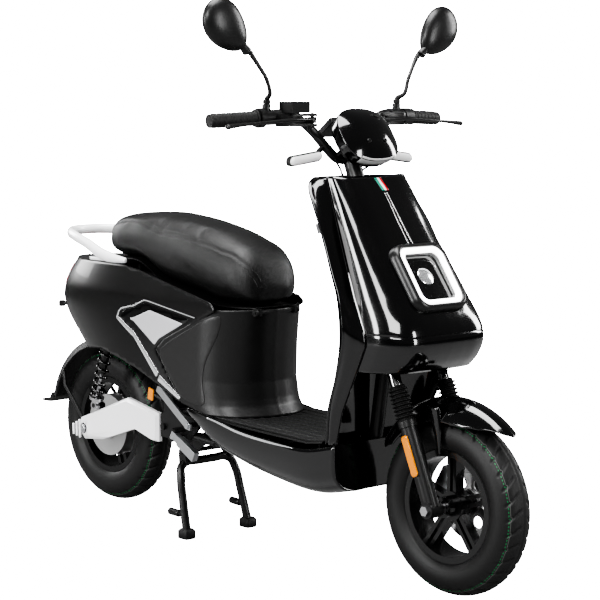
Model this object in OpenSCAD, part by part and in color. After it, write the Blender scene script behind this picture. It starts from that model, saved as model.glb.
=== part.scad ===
// Electric moped scooter on its centre stand, +X forward, +Y the rider's left, +Z up, floor at Z = 0.

/* [Overall] */
// Distance between the axles
wheelbase = 1266; // [1150:1:1400]
// Half the width of the body at the side panels
body_half = 150; // [130:1:180]
// Half the width across the handlebar ends
bar_half = 372; // [330:1:400]
// Height the rear tyre hangs above the floor on the stand
rear_lift = 27; // [15:1:45]

/* [Wheels] */
// Outer radius of both tyres
tyre_r = 208; // [200:1:220]
// Radius of the tyre's round section
tyre_sec = 46; // [40:1:48]
// Radius of the rim's flange
rim_r = 131; // [126:1:136]
// Radius of the bead seat
bead_r = 124; // [120:1:125]
// Radius of the front brake disc
disc_r = 90; // [80:1:95]
// Radius of the wheel axles
axle_r = 7.5; // [6:0.5:9]

/* [Fork] */
// Angle of the steering axis from vertical
rake = 23; // [20:0.5:27]
// Distance of the fork legs in front of the steering axis
fork_offset = 20; // [10:1:30]
// Distance of each fork leg from the centre plane
leg_y = 79; // [76:1:90]
// Radius of the chrome stanchions
stanchion_r = 14; // [12:0.5:16]
// Radius of the lower sliders
slider_r = 20; // [18:0.5:21]
// Radius of the steerer tube
steerer_r = 14; // [12:0.5:16]
// Radius of the handlebar tube
bar_r = 11; // [10:0.5:12]

/* [Rear] */
// Distance of each swingarm arm's inner face from the centre plane
arm_y = 84; // [78:1:90]
// Radius of the swingarm and shock bolts
bolt_r = 6; // [5:0.5:8]
// Distance of each shock from the centre plane
shock_y = 116; // [112:1:122]

/* [Body] */
// Thickness of the moulded body panels
skin_t = 3; // [2:0.5:5]
// Thickness of the rubber deck mat
mat_t = 5; // [3:0.5:8]

/* [Fits] */
// Radial clearance of shafts that turn or slide
run_gap = 0.05; // [0.02:0.01:0.1]
// Gap between parts that move past each other
move_gap = 1.5; // [1:0.1:3]

/* [Hidden] */
$fn = 48;
xr = -594;
xf = xr + wheelbase;
zf = tyre_r;
zr = tyre_r + rear_lift;
slope = tan(rake);
rail_x = xf - 265;
bore_gap = run_gap;
seat_hinge = [55, 0, 601];
arm_pivot = [-250, 0, 283];
shock_top = [-487, 0, 476];
shock_eye = [-545, 0, 303];
stand_pivot = [-228, 0, 214];
peg_pivot = [-178, 0, 274];
peg_dir = [0.88, 0, -0.475];
disc_y = -48;
grip_in = 242;
mount_y = 225;
pivot_y = 112;
lever_x = xf - 366;
switch_y = 229;

// Height, front-panel seam X behind the front axle, seam half width
SEAM_X = [[330, -240], [410, -218], [500, -170], [575, -132], [605, -137], [680, -180], [736, -207],
    [829, -253], [913, -292], [950, -309]];
SEAM_Y = [[330, 150], [410, 152], [500, 157], [575, 161], [605, 161], [680, 152], [736, 145],
    [829, 132], [913, 123], [950, 119]];
// Height, X of the wing's outer edge, its half width, X of the inner panel's middle
WING = [[331, -267, 160, -287], [410, -254, 166, -280], [500, -214, 178, -272], [590, -176, 195, -275],
    [680, -190, 192, -288], [736, -217, 188, -304], [829, -262, 180, -342], [900, -310, 168, -372],
    [945, -342, 156, -387]];
// Height, X of the front panel's middle line
NOSE = [[512, -60], [540, -32], [575, -17], [605, -20], [680, -66], [736, -106], [829, -175],
    [913, -235], [950, -264]];
// Height and X of the rear end of the tail
TAIL = [[380, -640], [445, -655], [514, -724], [548, -756], [588, -774], [632, -759], [700, -706]];
// X, lower Z, upper Z and half width of the belly pan
BELLY = [[-118, 330, 352, 146], [-20, 262, 343, 156], [90, 230, 325, 160], [205, 209, 316, 162],
    [345, 199, 312, 162], [431, 216, 330, 156]];
// X, lower Z, upper Z and half width of the cushion
SEAT = [[-620, 762, 786, 62], [-598, 742.4, 806, 98], [-540, 737.4, 818, 128], [-429, 727.6, 825, 140],
    [-300, 699.6, 820, 142], [-160, 672, 806, 136], [-30, 646.6, 784, 126], [45, 632, 760, 112],
    [82, 626, 722, 92], [96, 640, 688, 66]];

// Height and X of the column's front face
COLUMN = [[345, 76], [365, 62], [382, 57], [426, 49], [515, 52], [600, 62]];
// Seam between the column cover and the rear body, from front to rear
SEAM = [[-12, 606], [-204, 518], [-237, 492], [-226, 470], [-135, 362]];

function axis_at(z) = [xf - (z - zf) * slope - fork_offset / cos(rake), 0, z];
function leg_at(z, y) = [xf - (z - zf) * slope, y, z];
function seam(z, s) = [xf + lookup(z, SEAM_X), s * lookup(z, SEAM_Y), z];
function toward(p, c, t) = p + (c - p) * t / norm(c - p);
function unit(v) = v / norm(v);
function pw(v, e) = sign(v) * pow(abs(v), e);
function back(list) = [for (i = [len(list) - 1:-1:0]) list[i]];
function flip(list) = [for (p = back(list)) [p[0], -p[1], p[2]]];
function shell(pts, c, t) = concat(pts, [for (p = back(pts)) toward(p, c, t)]);

module both() {
    children();
    mirror([0, 1, 0])
        children();
}

module tube(p, q, r) {
    v = q - p;
    translate(p)
        rotate([0, acos(v[2] / norm(v)), atan2(v[1], v[0])])
            cylinder(h = norm(v), r = r);
}

module pipe(pts, r, ref, n = 14) {
    last = len(pts) - 1;
    skin([for (i = [0:last]) let (d = unit(unit(pts[min(i + 1, last)] - pts[min(i, last - 1)])
        + unit(pts[max(i, 1)] - pts[max(i - 1, 0)])), u = unit(cross(d, ref)), v = cross(d, u))
        [for (j = [0:n - 1]) pts[i] + r * (cos(360 * j / n) * u + sin(360 * j / n) * v)]]);
}

module bar_y(x, z, y0, y1, r) {
    translate([x, y0, z])
        rotate([-90, 0, 0])
            cylinder(h = y1 - y0, r = r);
}

module slab(y0, y1) {
    translate([0, y1, 0])
        rotate([90, 0, 0])
            linear_extrude(height = y1 - y0)
                children();
}

module skin(rings) {
    n = len(rings[0]);
    m = len(rings);
    last = (m - 1) * n;
    sides = [for (i = [0:m - 2]) for (j = [0:n - 1]) let (a = i * n + j, b = i * n + (j + 1) % n)
        each [[a, a + n, b + n], [a, b + n, b]]];
    low = [for (j = [0:n / 2 - 2]) each [[j, j + 1, n - 2 - j], [j, n - 2 - j, n - 1 - j]]];
    high = [for (f = low) [last + f[2], last + f[1], last + f[0]]];
    polyhedron(points = [for (r = rings) each r], faces = concat(sides, low, high));
}

module rounded(l, w, r) {
    hull()
        for (x = [r - l / 2, l / 2 - r])
            for (y = [r - w / 2, w / 2 - r])
                translate([x, y])
                    circle(r = r, $fn = 24);
}

module wheel_at(x, z) {
    translate([x, 0, z])
        rotate([90, 0, 0])
            children();
}

module along_axis(z) {
    translate(axis_at(z))
        rotate([0, -rake, 0])
            children();
}

module along_leg(z, y) {
    translate(leg_at(z, y))
        rotate([0, -rake, 0])
            children();
}

module frame() {
    color("dimgray") {
        difference() {
            union() {
                tube(axis_at(625), axis_at(915), 25);
                down_tube(17);
            }
            tube(axis_at(620), axis_at(920), 21);
        }
        tube([rail_x, -94, 262], [rail_x, 94, 262], 13.5);
        tube([60, -94, 262], [60, 94, 262], 10);
        tube([-140, -111, 268], [-140, 111, 268], 9);
        both() {
            pipe([[rail_x, 94, 262], [-62, 94, 262], [-122, 94, 400], [-405, 94, 618], [-612, 72, 672]], 12,
                [0, 1, 0]);
            tube([-62, 97, 262], [-212, 111, 276], 10);
            slab(107, 115)
                polygon([[-264, 255], [-150, 255], [-112, 294], [-118, 314], [-200, 334], [-230, 389],
                    [-250, 389], [-252, 322], [-264, 314]]);
            tube([12, 60, 262], [26, 60, 588], 8);
            tube([-405, 94, 615], [-470, 99, 505], 9);
            tube([-466, 98.5, 512], [shock_top[0], 99, shock_top[2]], 8);
            bar_y(shock_top[0], shock_top[2], 92, 125, bolt_r);
            translate([20, 54, 580])
                cube([16, 8, 30]);
            translate([30, 54, 592])
                cube([34, 8, 18]);
            slab(62, 68)
                polygon([[-238, 208], [-230, 201], [-216, 201], [-120, 258], [-120, 276], [-238, 266]]);
            for (p = [[60, 329], [180, 324.7], [320, 320.8]])
                translate([p[0], 94, 262])
                    cylinder(h = p[1] - 262, r = 7);
            bar_y(-126, 304, 110, 134, 7);
            bar_y(-240, 380, 110, 134, 7);
            peg_place() {
                rotate([0, 90, 0])
                    cylinder(h = 36, r = 4, center = true);
                for (x = [-16.5, 11.5])
                    translate([x, -28, -8])
                        cube([5, 37, 16]);
            }
            translate([-330, 72, 540])
                cube([60, 24, 22]);
            translate([-612, 50, 672])
                cylinder(h = 19.8, r = 7);
            translate([-405, 70, 618])
                cylinder(h = 73.8, r = 7);
        }
        bar_y(arm_pivot[0], arm_pivot[2], -122, 122, bolt_r + 2);
        bar_y(stand_pivot[0], stand_pivot[2], -80, 80, bolt_r);
        bar_y(seat_hinge[0], seat_hinge[2], -74, 74, 5);
        tube([-405, -94, 618], [-405, 94, 618], 10);
        tube([-612, -72, 672], [-612, 72, 672], 10);
        translate([-250, -88, 352])
            cube([270, 176, 6]);
        translate([-110, -96, 340])
            cube([24, 192, 14]);
        translate([10, -64, 336])
            cube([12, 128, 18]);
    }
}

module down_tube(r) {
    pipe([axis_at(760) - [16, 0, 0], [xf - 236, 0, 500], [xf - 261.5, 0, 330], [rail_x, 0, 256]], r,
        [0, 1, 0], 20);
}

module peg_place() {
    translate(peg_pivot + [0, 140, 0])
        rotate([0, atan2(peg_dir[0], peg_dir[2]), 0])
            children();
}

module head_bearings() {
    color("silver")
        for (z = [[630, 0], [902, 0]])
            along_axis(z[0])
                difference() {
                    cylinder(h = 11, r = 21);
                    translate([0, 0, -1])
                        cylinder(h = 13, r = steerer_r + bore_gap);
                }
}

module battery() {
    color("darkslategray") {
        translate([-240, -78, 358])
            cube([244, 156, 218]);
        translate([-150, -20, 576])
            difference() {
                cube([70, 40, 26]);
                translate([10, -1, -1])
                    cube([50, 42, 18]);
            }
    }
}

module controller() {
    color("gray") {
        translate([-340, -76, 562])
            cube([90, 152, 36]);
        for (i = [0:6])
            translate([-334 + 12 * i, -70, 598])
                cube([4, 140, 8]);
    }
}

function deck_line(h) = [[-40, 336 + h], [0, 332 + h], [150, 326 + h], [330, 321 + h],
    [xf - 287.6, 329 + h]];

module deck() {
    color("black")
        difference() {
            slab(-body_half, body_half)
                polygon(concat(deck_line(4), back(deck_line(0))));
            translate([-200, -80, 300])
                cube([240, 160, 100]);
        }
}

module deck_mat() {
    color("dimgray")
        difference() {
            union() {
                slab(-body_half + 8, body_half - 8)
                    polygon(concat(deck_line(4 + mat_t), back(deck_line(4))));
                for (i = [0:8])
                    slab(-120 + 28 * i, -112 + 28 * i)
                        polygon(concat(deck_line(6 + mat_t), back(deck_line(4))));
            }
            translate([0, 0, 300])
                linear_extrude(height = 80)
                    polygon([for (p = column_all(345)) [p[0] + 0.3, p[1]]]);
        }
}

function belly_ring(b, g) = [for (p = [[-1, 1], [-1, 0.55], [-0.86, 0.2], [-0.66, 0], [0.66, 0], [0.86, 0.2],
    [1, 0.55], [1, 1]]) [b[0], p[0] * (b[3] - g), b[1] + g + p[1] * (b[2] - b[1] - g)]];

module belly_pan() {
    color("black") {
        difference() {
            skin([for (b = BELLY) concat(belly_ring(b, 0), back(belly_ring(b, skin_t)))]);
            both()
                translate([-119, 79, 225])
                    cube([190, 30, 120]);
        }
        translate([xf - 241 - skin_t, -140, 218])
            cube([skin_t, 280, 110]);
        both()
            translate([250, 94, 207])
                cylinder(h = 42.6, r = 7);
    }
}

function wing_half(w) = let (z = w[0], s = [xf + lookup(z, SEAM_X) - 0.5, lookup(z, SEAM_Y) + 0.5, z],
    e = [xf + w[1], w[2], z], m = [xf + w[3], 0, z])
    [s, s * 0.5 + e * 0.5 + [4, 0, 0], e, [e[0] * 0.82 + m[0] * 0.18 - 4, w[2] * 0.93, z],
    [e[0] * 0.45 + m[0] * 0.55 - 4, w[2] * 0.7, z], [e[0] * 0.15 + m[0] * 0.85, w[2] * 0.38, z], m];
WALL_IN = [[-1, 0, 0], [-1, 0, 0], [-0.8, -2.4, 0], [0.6, -0.9, 0], [1, -0.3, 0], [1, 0, 0], [1, 0, 0]];
function wing_in(w) = let (h = wing_half(w)) [for (i = [0:6]) h[i] + skin_t * WALL_IN[i]];
function whole(h) = concat(h, flip([for (i = [0:len(h) - 2]) h[i]]));
function wing_shell(w) = concat(whole(wing_half(w)), back(whole(wing_in(w))));

module leg_shield() {
    color("black") {
        skin([for (w = WING) wing_shell(w)]);
        difference() {
            translate([0, 0, 943])
                linear_extrude(height = skin_t)
                    polygon(top_line());
            along_axis(930)
                cylinder(h = 40, r = 36);
        }
        difference() {
            key_place()
                translate([0, 0, -34])
                    cylinder(h = 42, r = 14);
            key_place()
                translate([0, 0, -20])
                    cylinder(h = 60, r = 5 + bore_gap);
        }
        difference() {
            translate([xf - 275, -10, 570])
                cube([28, 20, 24]);
            down_tube(17.3);
        }
    }
}

function top_line() = let (h = [[xf - 272, 40], [xf - 280, 72], [xf - 298, 100], [xf - 314, 113],
    [xf - 345, 150], [xf - 384, 60]]) concat(h, [for (p = back(h)) [p[0], -p[1]]]);

module key_place() {
    along_axis(860)
        translate([-64, -72, 0])
            rotate([0, -90, 0])
                children();
}

module ignition_key() {
    color("silver")
        key_place() {
            translate([0, 0, -19])
                cylinder(h = 31, r = 5);
            translate([-12, -1.5, 11])
                cube([24, 3, 26]);
        }
}

function nose_ring(n) = let (z = n[0], s = seam(z, -1), f = xf + n[1], d = f - s[0])
    [s, [f - 0.34 * d, s[1] * 0.9, z], [f - 0.09 * d, s[1] * 0.66, z], [f - 0.015 * d, s[1] * 0.36, z],
    [f, 0, z]];
function nose_all(n) = whole(nose_ring(n));

module nose_place() {
    translate([xf - 86, 0, 728])
        rotate([0, 55, 0])
            children();
}

module nose_skin(t) {
    skin([for (n = NOSE) shell(nose_all(n), [xf + lookup(n[0], SEAM_X) - 40, 0, n[0]], t)]);
}

module front_panel() {
    color("black")
        difference() {
            nose_skin(skin_t);
            nose_place()
                translate([0, 0, -80])
                    linear_extrude(height = 160)
                        rounded(150, 140, 24);
        }
}

module headlight() {
    color("gray") {
        difference() {
            nose_place()
                hull() {
                    translate([0, 0, -22])
                        linear_extrude(height = 2)
                            rounded(178, 172, 34);
                    translate([0, 0, 4])
                        linear_extrude(height = 2)
                            rounded(152, 140, 28);
                }
            nose_place()
                translate([0, 0, -90])
                    linear_extrude(height = 120)
                        rounded(142, 130, 24);
            nose_skin(60);
        }
        nose_place()
            difference() {
                translate([0, 0, -50])
                    linear_extrude(height = 54)
                        rounded(149, 139, 24);
                translate([0, 0, -46])
                    linear_extrude(height = 60)
                        rounded(141, 129, 22);
            }
    }
    color("white")
        nose_place()
            translate([0, 0, -8])
                linear_extrude(height = 10)
                    rounded(141.6, 129.6, 22);
}

function column_half(z) = let (f = lookup(z, COLUMN))
    [[f, 0, z], [f - 6, body_half * 0.3, z], [f - 26, body_half * 0.6, z], [f - 62, body_half * 0.85, z],
    [f - 110, body_half - 3, z], [-100, body_half, z], [-260, body_half, z]];
function column_all(z) = whole(back(column_half(z)));

module seat_column() {
    color("black")
        intersection() {
            skin([for (z = [330, 345, 365, 382, 426, 515, 608]) shell(column_all(z), [-120, 0, z], skin_t)]);
            slab(-200, 200)
                polygon(concat([[100, 333.4], [0, 336.5], [-40, 340.5], [-62, 347.6]], back(SEAM),
                    [[30, 600], [40, 590], [100, 590]]));
        }
}

function tail_half(z) = let (e = lookup(z, TAIL), w = body_half - lookup(z, [[620, 0], [700, 14]]))
    concat([[40, w, z], [-150, w, z]], [for (a = [0:15:90]) [-330 + (e + 330) * pow(sin(a), 0.85),
    w * pow(max(cos(a), 0), 0.8), z]]);
function tail_all(z) = whole(tail_half(z));

module rear_body() {
    color("dimgray") {
        difference() {
            intersection() {
                skin([for (t = TAIL) shell(tail_all(t[0]), [-200, 0, t[0]], skin_t)]);
                slab(-200, 200)
                    polygon(concat([[-800, 695], [-400, 695], [-286, 678], [0, 620], [26, 611]],
                        [for (p = SEAM) p + [-0.8, 0.2]], [[-230, 398], [-400, 446], [-520, 470],
                        [-640, 454], [-800, 454]]));
            }
            translate([-800, -90, 300])
                cube([420, 180, 216]);
            tail_lens(0);
            both()
                rear_stalk(6.3);
        }
        translate([0, 0, 692])
            linear_extrude(height = skin_t)
                polygon([[-702, -20], [-690, -52], [-650, -90], [-560, -120], [-420, -134], [-420, 134],
                    [-560, 120], [-650, 90], [-690, 52], [-702, 20]]);
    }
}

module tail_lens(g) {
    skin([for (z = [618, 646, 676]) let (e = lookup(z, TAIL) - 2.5 + g)
        shell([for (a = [47 + g, 60, 75, 90, 105, 120, 133 - g]) [-330 + (e + 330) * pow(sin(a), 0.85),
        sign(90 - a) * (body_half - 4 - g) * pow(abs(cos(a)), 0.8), z + sign(646 - z) * g]],
        [-600, 0, z], 7 - 2 * g)]);
}

module rear_stalk(r) {
    tube([-722, 50, 560], [-760, 66, 558], r);
}

module trim_strips() {
    color("silver") {
        both() {
            slab(body_half, body_half + 2) {
                polygon([[-404, 556], [-394, 560], [-228, 430], [-236, 416]]);
                polygon([[-230, 409], [-222, 424], [-138, 377], [-144, 369]]);
                polygon([[-346, 559], [-262, 587], [-128, 563], [-225, 517], [-243, 499]]);
            }
            skin([for (b = BELLY) if (b[0] > -100 && b[0] < 300) [[b[0], b[3], b[2] - 9],
                [b[0], b[3] + 2, b[2] - 9], [b[0], b[3] + 2, b[2] - 3], [b[0], b[3], b[2] - 3]]]);
            skin([for (z = [801, 829, 913, 920]) let (x = xf + lookup(z, NOSE)) [[x, 3.5, z], [x + 2, 3.5, z],
                [x + 2, 6.5, z], [x, 6.5, z]]]);
        }
    }
}

module rear_lights() {
    color("red")
        tail_lens(0.6);
    color("orange")
        both() {
            rear_stalk(6);
            translate([-760, 58, 550])
                rotate([0, 0, 38])
                    cube([12, 16, 16]);
        }
}

module grab_rail() {
    color("gainsboro") {
        both()
            translate([-560, 100, 695])
                cube([140, 20, 9]);
        pipe(whole([[-400, 124, 706], [-491, 124, 712], [-560, 120, 736], [-640, 108, 754], [-696, 82, 760],
            [-728, 40, 761], [-734, 0, 761]]), 10, [0, 0, 1]);
    }
}

module peg_brackets() {
    color("silver")
        both() {
            slab(134, 140)
                polygon([[-252, 378], [-246, 392], [-234, 390], [-112, 306], [-116, 292], [-130, 294]]);
            bar_y(-126, 304, 139, 144, 8);
        }
}

module seat_base() {
    color("dimgray") {
        slab(-body_half + 54, body_half - 54)
            polygon([[-564, 739], [-440, 728], [-370, 714], [-286, 696], [0, 640], [68, 627], [68, 619],
                [0, 630], [-286, 686], [-370, 703], [-440, 718], [-564, 729]]);
        both()
            difference() {
                union() {
                    translate([seat_hinge[0] - 9, 64, seat_hinge[2]])
                        cube([18, 8, 24]);
                    bar_y(seat_hinge[0], seat_hinge[2], 64, 72, 9.4);
                }
                bar_y(seat_hinge[0], seat_hinge[2], 60, 76, 5 + bore_gap);
            }
        both()
            translate([-500, 90, 696.5])
                cylinder(h = 30, r = 9);
    }
}

function seat_ring(s) = [for (a = [180:-20:-160]) let (c = cos(a), v = sin(a), h = s[2] - s[1])
    [s[0], -s[3] * pw(c, 0.62), s[1] + h * (0.36 + (v > 0 ? 0.64 : 0.36) * pw(v, 0.72))]];

module seat_cushion() {
    color("black")
        skin([for (s = SEAT) back(seat_ring(s))]);
}

module fork_upper() {
    color("silver") {
        tube(axis_at(596), axis_at(966), steerer_r);
        along_axis(592)
            linear_extrude(height = 24)
                polygon([[-28, -42], [0, -leg_y - 20], [fork_offset + 24, -leg_y - 20],
                    [fork_offset + 24, leg_y + 20], [0, leg_y + 20], [-28, 42]]);
        for (s = [-1, 1])
            tube(leg_at(612, s * leg_y), leg_at(300, s * leg_y), stanchion_r);
    }
}

module handlebar() {
    color("black")
        difference() {
            union() {
                tube(axis_at(936), axis_at(992), 20);
                pipe(whole([[xf - 402, -140, 1088], [xf - 390, -104, 1064], [xf - 360, -42, 988],
                    [xf - 354, 0, 984]]), bar_r + 0.6, [1, 0, 0], 16);
                both()
                    tube(grip_at(139), grip_at(bar_half - 4), bar_r);
                both()
                    visor_place()
                        translate([20, 40, -88])
                            cylinder(h = 104.4, r = 7);
                display_place()
                    translate([0, 0, -84])
                        cylinder(h = 69.4, r = 9);
            }
            tube(axis_at(930), axis_at(966.5), steerer_r + 0.02);
        }
}

module display_place() {
    translate([xf - 394, 0, 1066])
        rotate([0, -37, 0])
            children();
}

module visor_place() {
    translate([xf - 294, 0, 1045])
        rotate([0, 56, 0])
            children();
}

function visor_ring(k, z, g) = [for (a = [10:20:350]) [(k * 73 - g) * pw(cos(a), 0.75),
    (k * 84 - g) * pw(sin(a), 0.8), z]];

module visor() {
    color("black") {
        visor_place()
            difference() {
                skin([visor_ring(0.94, -34, 0), visor_ring(1, 0, 0), visor_ring(0.9, 12, 0),
                    visor_ring(0.62, 20, 0)]);
                skin([visor_ring(0.94, -36, 3), visor_ring(1, -1, 3), visor_ring(0.9, 9, 3),
                    visor_ring(0.62, 17, 2)]);
            }
    }
}

module display() {
    color("dimgray")
        display_place() {
            translate([-31, -52, -14])
                cube([62, 104, 14]);
            translate([-25, -44, -1])
                cube([50, 88, 3]);
        }
}

module front_indicators() {
    color("white")
        both() {
            translate([xf - 362, 150, 990])
                rotate([90, 0, 90])
                    linear_extrude(height = 24)
                        rounded(104, 25, 12);
            difference() {
                tube([xf - 372, 66, 1018], [xf - 352, 110, 994], 6);
                pipe([[xf - 354, 0, 984], [xf - 360, 42, 988], [xf - 390, 104, 1064]], bar_r + 0.7,
                    [1, 0, 0], 16);
            }
        }
}

module clamp_unit() {
    difference() {
        children();
        tube(grip_at(100), grip_at(bar_half + 20), bar_r + bore_gap);
    }
}

function grip_at(y) = let (k = (y - 140) / 228) [xf - 402 - 28 * k, y, 1088 - 10 * k];

module perch() {
    clamp_unit() {
        tube(grip_at(178), grip_at(226), 18);
        translate([lever_x - 30, 146, 1064])
            cube([22, 54, 30]);
        translate([grip_at(mount_y)[0] - 1, 213, 1090])
            cylinder(h = 26, r = 10);
    }
    for (z = [1064, 1087.6])
        translate([0, 0, z])
            linear_extrude(height = 6.4)
                polygon([[lever_x - 12, pivot_y - 8], [lever_x - 12, 160], [lever_x - 8, 160],
                    [lever_x + 10.5, pivot_y + 3], [lever_x + 9, pivot_y - 8], [lever_x, pivot_y - 11]]);
    translate([lever_x, pivot_y, 1060])
        cylinder(h = 36, r = 4);
}

module perch_right() {
    color("black")
        mirror([0, 1, 0]) {
            perch();
            clamp_unit() {
                tube(grip_at(226), grip_at(240), 23);
                translate([xf - 396, 146, 1090])
                    cube([24, 28, 16]);
                translate([xf - 404, 128, 1096])
                    cube([48, 54, 26]);
            }
        }
}

module perch_left() {
    color("black")
        perch();
}

module switch_left() {
    color("dimgray")
        difference() {
            clamp_unit() {
                tube(grip_at(switch_y), grip_at(switch_y + 34), 20);
                translate([xf - 440, switch_y + 2, 1066])
                    cube([26, 30, 38]);
            }
            button_place()
                translate([0, 0, -12])
                    cylinder(h = 30, r = 6 + bore_gap * 3);
            translate([xf - 441, switch_y + 8, 1092])
                cube([12, 18, 6]);
        }
}

module button_place() {
    translate([xf - 440, switch_y + 16, 1078])
        rotate([0, -90, 0])
            children();
}

module horn_button() {
    color("yellow")
        button_place()
            translate([0, 0, -6])
                cylinder(h = 10, r = 6);
}

module turn_switch() {
    color("lightgray")
        translate([xf - 444, switch_y + 14, 1092.3])
            cube([12, 6, 5.4]);
}

module grip(y0) {
    difference() {
        union() {
            tube(grip_at(y0), grip_at(bar_half), 16);
            tube(grip_at(y0), grip_at(y0 + 5), 20);
            for (y = [y0 + 14:14:bar_half - 14])
                tube(grip_at(y), grip_at(y + 7), 17.2);
        }
        tube(grip_at(y0 - 4), grip_at(bar_half - 3.5), bar_r + bore_gap);
    }
}

module grip_left() {
    color("black")
        grip(switch_y + 36);
}

module throttle_grip() {
    color("black")
        mirror([0, 1, 0])
            grip(grip_in + move_gap);
}

module lever() {
    difference() {
        union() {
            translate([lever_x, pivot_y, 1071.5])
                cylinder(h = 15, r = 10);
            pipe([[lever_x + 4, pivot_y + 2, 1079], [xf - 346, 190, 1080], [xf - 348, 280, 1074],
                [xf - 354, 372, 1067]], 6, [0, 0, 1]);
            pipe([[xf - 353, 360, 1068], [xf - 354, 366, 1067.5], [xf - 354, 381, 1066]], 8.6, [0, 0, 1]);
        }
        translate([lever_x, pivot_y, 1060])
            cylinder(h = 40, r = 4 + bore_gap);
    }
}

module lever_right() {
    color("black")
        mirror([0, 1, 0])
            lever();
}

module lever_left() {
    color("black")
        lever();
}

module mirror_stems() {
    color("black")
        both() {
            pipe([[grip_at(mount_y)[0] - 1, 213, 1121], [xf - 394, 219, 1134], [xf - 392, 232, 1174],
                [xf - 400, 268, 1226], [xf - 400, 273, 1233]], 5, [1, 0, 0]);
            translate([grip_at(mount_y)[0] - 1, 213, 1116])
                cylinder(h = 10, r = 9, $fn = 6);
            bar_y(xf - 400, 1234, 270, 290, 8);
        }
}

function mirror_ring(k, x) = [for (a = [10:20:350]) let (u = 70 * k * cos(a), v = 52 * k * sin(a))
    [x, u * 0.74 - v * 0.67, u * 0.67 + v * 0.74]];

module mirror_head() {
    difference() {
        union() {
            translate([xf - 400, 346, 1292])
                skin([mirror_ring(0.95, -10), mirror_ring(1, 0), mirror_ring(0.88, 14),
                    mirror_ring(0.5, 25)]);
            bar_y(xf - 400, 1234, 279, 290.5, 13);
            tube([xf - 400, 289, 1240], [xf - 396, 314, 1264], 9);
        }
        bar_y(xf - 400, 1234, 260, 290.3, 8 + bore_gap);
    }
}

module mirror_head_right() {
    color("black")
        mirror([0, 1, 0])
            mirror_head();
}

module mirror_head_left() {
    color("black")
        mirror_head();
}

module brake_hoses() {
    color("black")
        both()
            pipe([[xf - 372, 118, 1063.8], [xf - 372, 118, 1056], [xf - 354, 96, 1028], [xf - 338, 70, 990],
                [xf - 344, 42, 964], [xf - 355, 26, 952], [xf - 347, 23.2, 932]], 2.6, [1, 0, 0], 10);
}

module fork_sliders() {
    color("black")
        for (s = [-1, 1]) {
            difference() {
                union() {
                    tube(leg_at(zf + 4, s * leg_y), leg_at(396, s * leg_y), slider_r);
                    tube(leg_at(386, s * leg_y), leg_at(400, s * leg_y), slider_r + 3);
                    bar_y(xf, zf, s * leg_y - slider_r, s * leg_y + slider_r, 19);
                }
                tube(leg_at(250, s * leg_y), leg_at(410, s * leg_y), stanchion_r + bore_gap);
                bar_y(xf, zf, -140, 140, axle_r + bore_gap);
            }
            translate(leg_at(324, s * (leg_y + slider_r)))
                rotate([0, -rake, 0])
                    cube([16, 4, 92], center = true);
        }
    color("black")
        both()
            translate([xf - 98, 56.3, 372])
                cube([28, 6, 22]);
}

module front_caliper() {
    color("silver")
        mirror([0, 1, 0])
            difference() {
                translate([xf, disc_y, zf])
                    rotate([0, -150, 0])
                        difference() {
                            union() {
                                translate([56, -19, -28])
                                    cube([48, 31, 56]);
                                translate([66, -28, -58])
                                    cube([30, 12, 52]);
                            }
                            translate([40, -3.5, -60])
                                cube([52.5, 7, 120]);
                        }
                tube(leg_at(zf, -leg_y), leg_at(396, -leg_y), slider_r + 0.3);
            }
}

module front_fender() {
    color("black")
        intersection() {
            wheel_at(xf, zf)
                rotate([0, 0, 46])
                    rotate_extrude(angle = 102, $fn = 96)
                        polygon([[198, 52], [236, 46], [246, 20], [248, 0], [246, -20], [236, -46],
                            [198, -52], [198, -56], [238, -50], [249, -22], [251, 0], [249, 22], [238, 50],
                            [198, 56]]);
            linear_extrude(height = 600)
                polygon([[xf - 260, -70], [xf + 40, -70], [xf + 120, -48], [xf + 176, 0], [xf + 120, 48],
                    [xf + 40, 70], [xf - 260, 70]]);
        }
}

module fork_bellows() {
    color("black")
        for (s = [-1, 1])
            along_leg(400, s * leg_y)
                rotate_extrude()
                    polygon(concat([[stanchion_r + 1, 0]], [for (i = [0:9]) [i % 2 == 0 ? 19 : 24, i * 9.2]],
                        [[stanchion_r + 1, 83]]));
}

module front_axle() {
    color("silver") {
        bar_y(xf, zf, -104, 104, axle_r);
        both()
            translate([xf, leg_y + slider_r, zf])
                rotate([-90, 0, 0])
                    cylinder(h = 8, r = 12, $fn = 6);
        both()
            difference() {
                bar_y(xf, zf, 45, leg_y - slider_r, 13);
                bar_y(xf, zf, 40, 70, axle_r - 0.3);
            }
    }
}

module tyre(x, z) {
    color("black")
        wheel_at(x, z)
            rotate_extrude($fn = 96)
                difference() {
                    intersection() {
                        translate([tyre_r - tyre_sec, 0])
                            circle(r = tyre_sec, $fn = 72);
                        translate([bead_r, -60])
                            square([100, 120]);
                    }
                    translate([tyre_r - tyre_sec + 1, 0])
                        circle(r = tyre_sec - 9, $fn = 72);
                    translate([bead_r - 1, -20])
                        square([20, 40]);
                    for (s = [30.6, -60.6])
                        translate([bead_r - 1, s])
                            square([rim_r - bead_r + 2, 30]);
                }
}

module rim() {
    rotate_extrude($fn = 96)
        polygon([[bead_r - 8, -34], [rim_r, -34], [rim_r, -31], [bead_r, -31], [bead_r, 31], [rim_r, 31],
            [rim_r, 34], [bead_r - 8, 34]]);
}

module front_tyre() {
    tyre(xf, zf);
}

module rear_tyre() {
    tyre(xr, zr);
}

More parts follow.
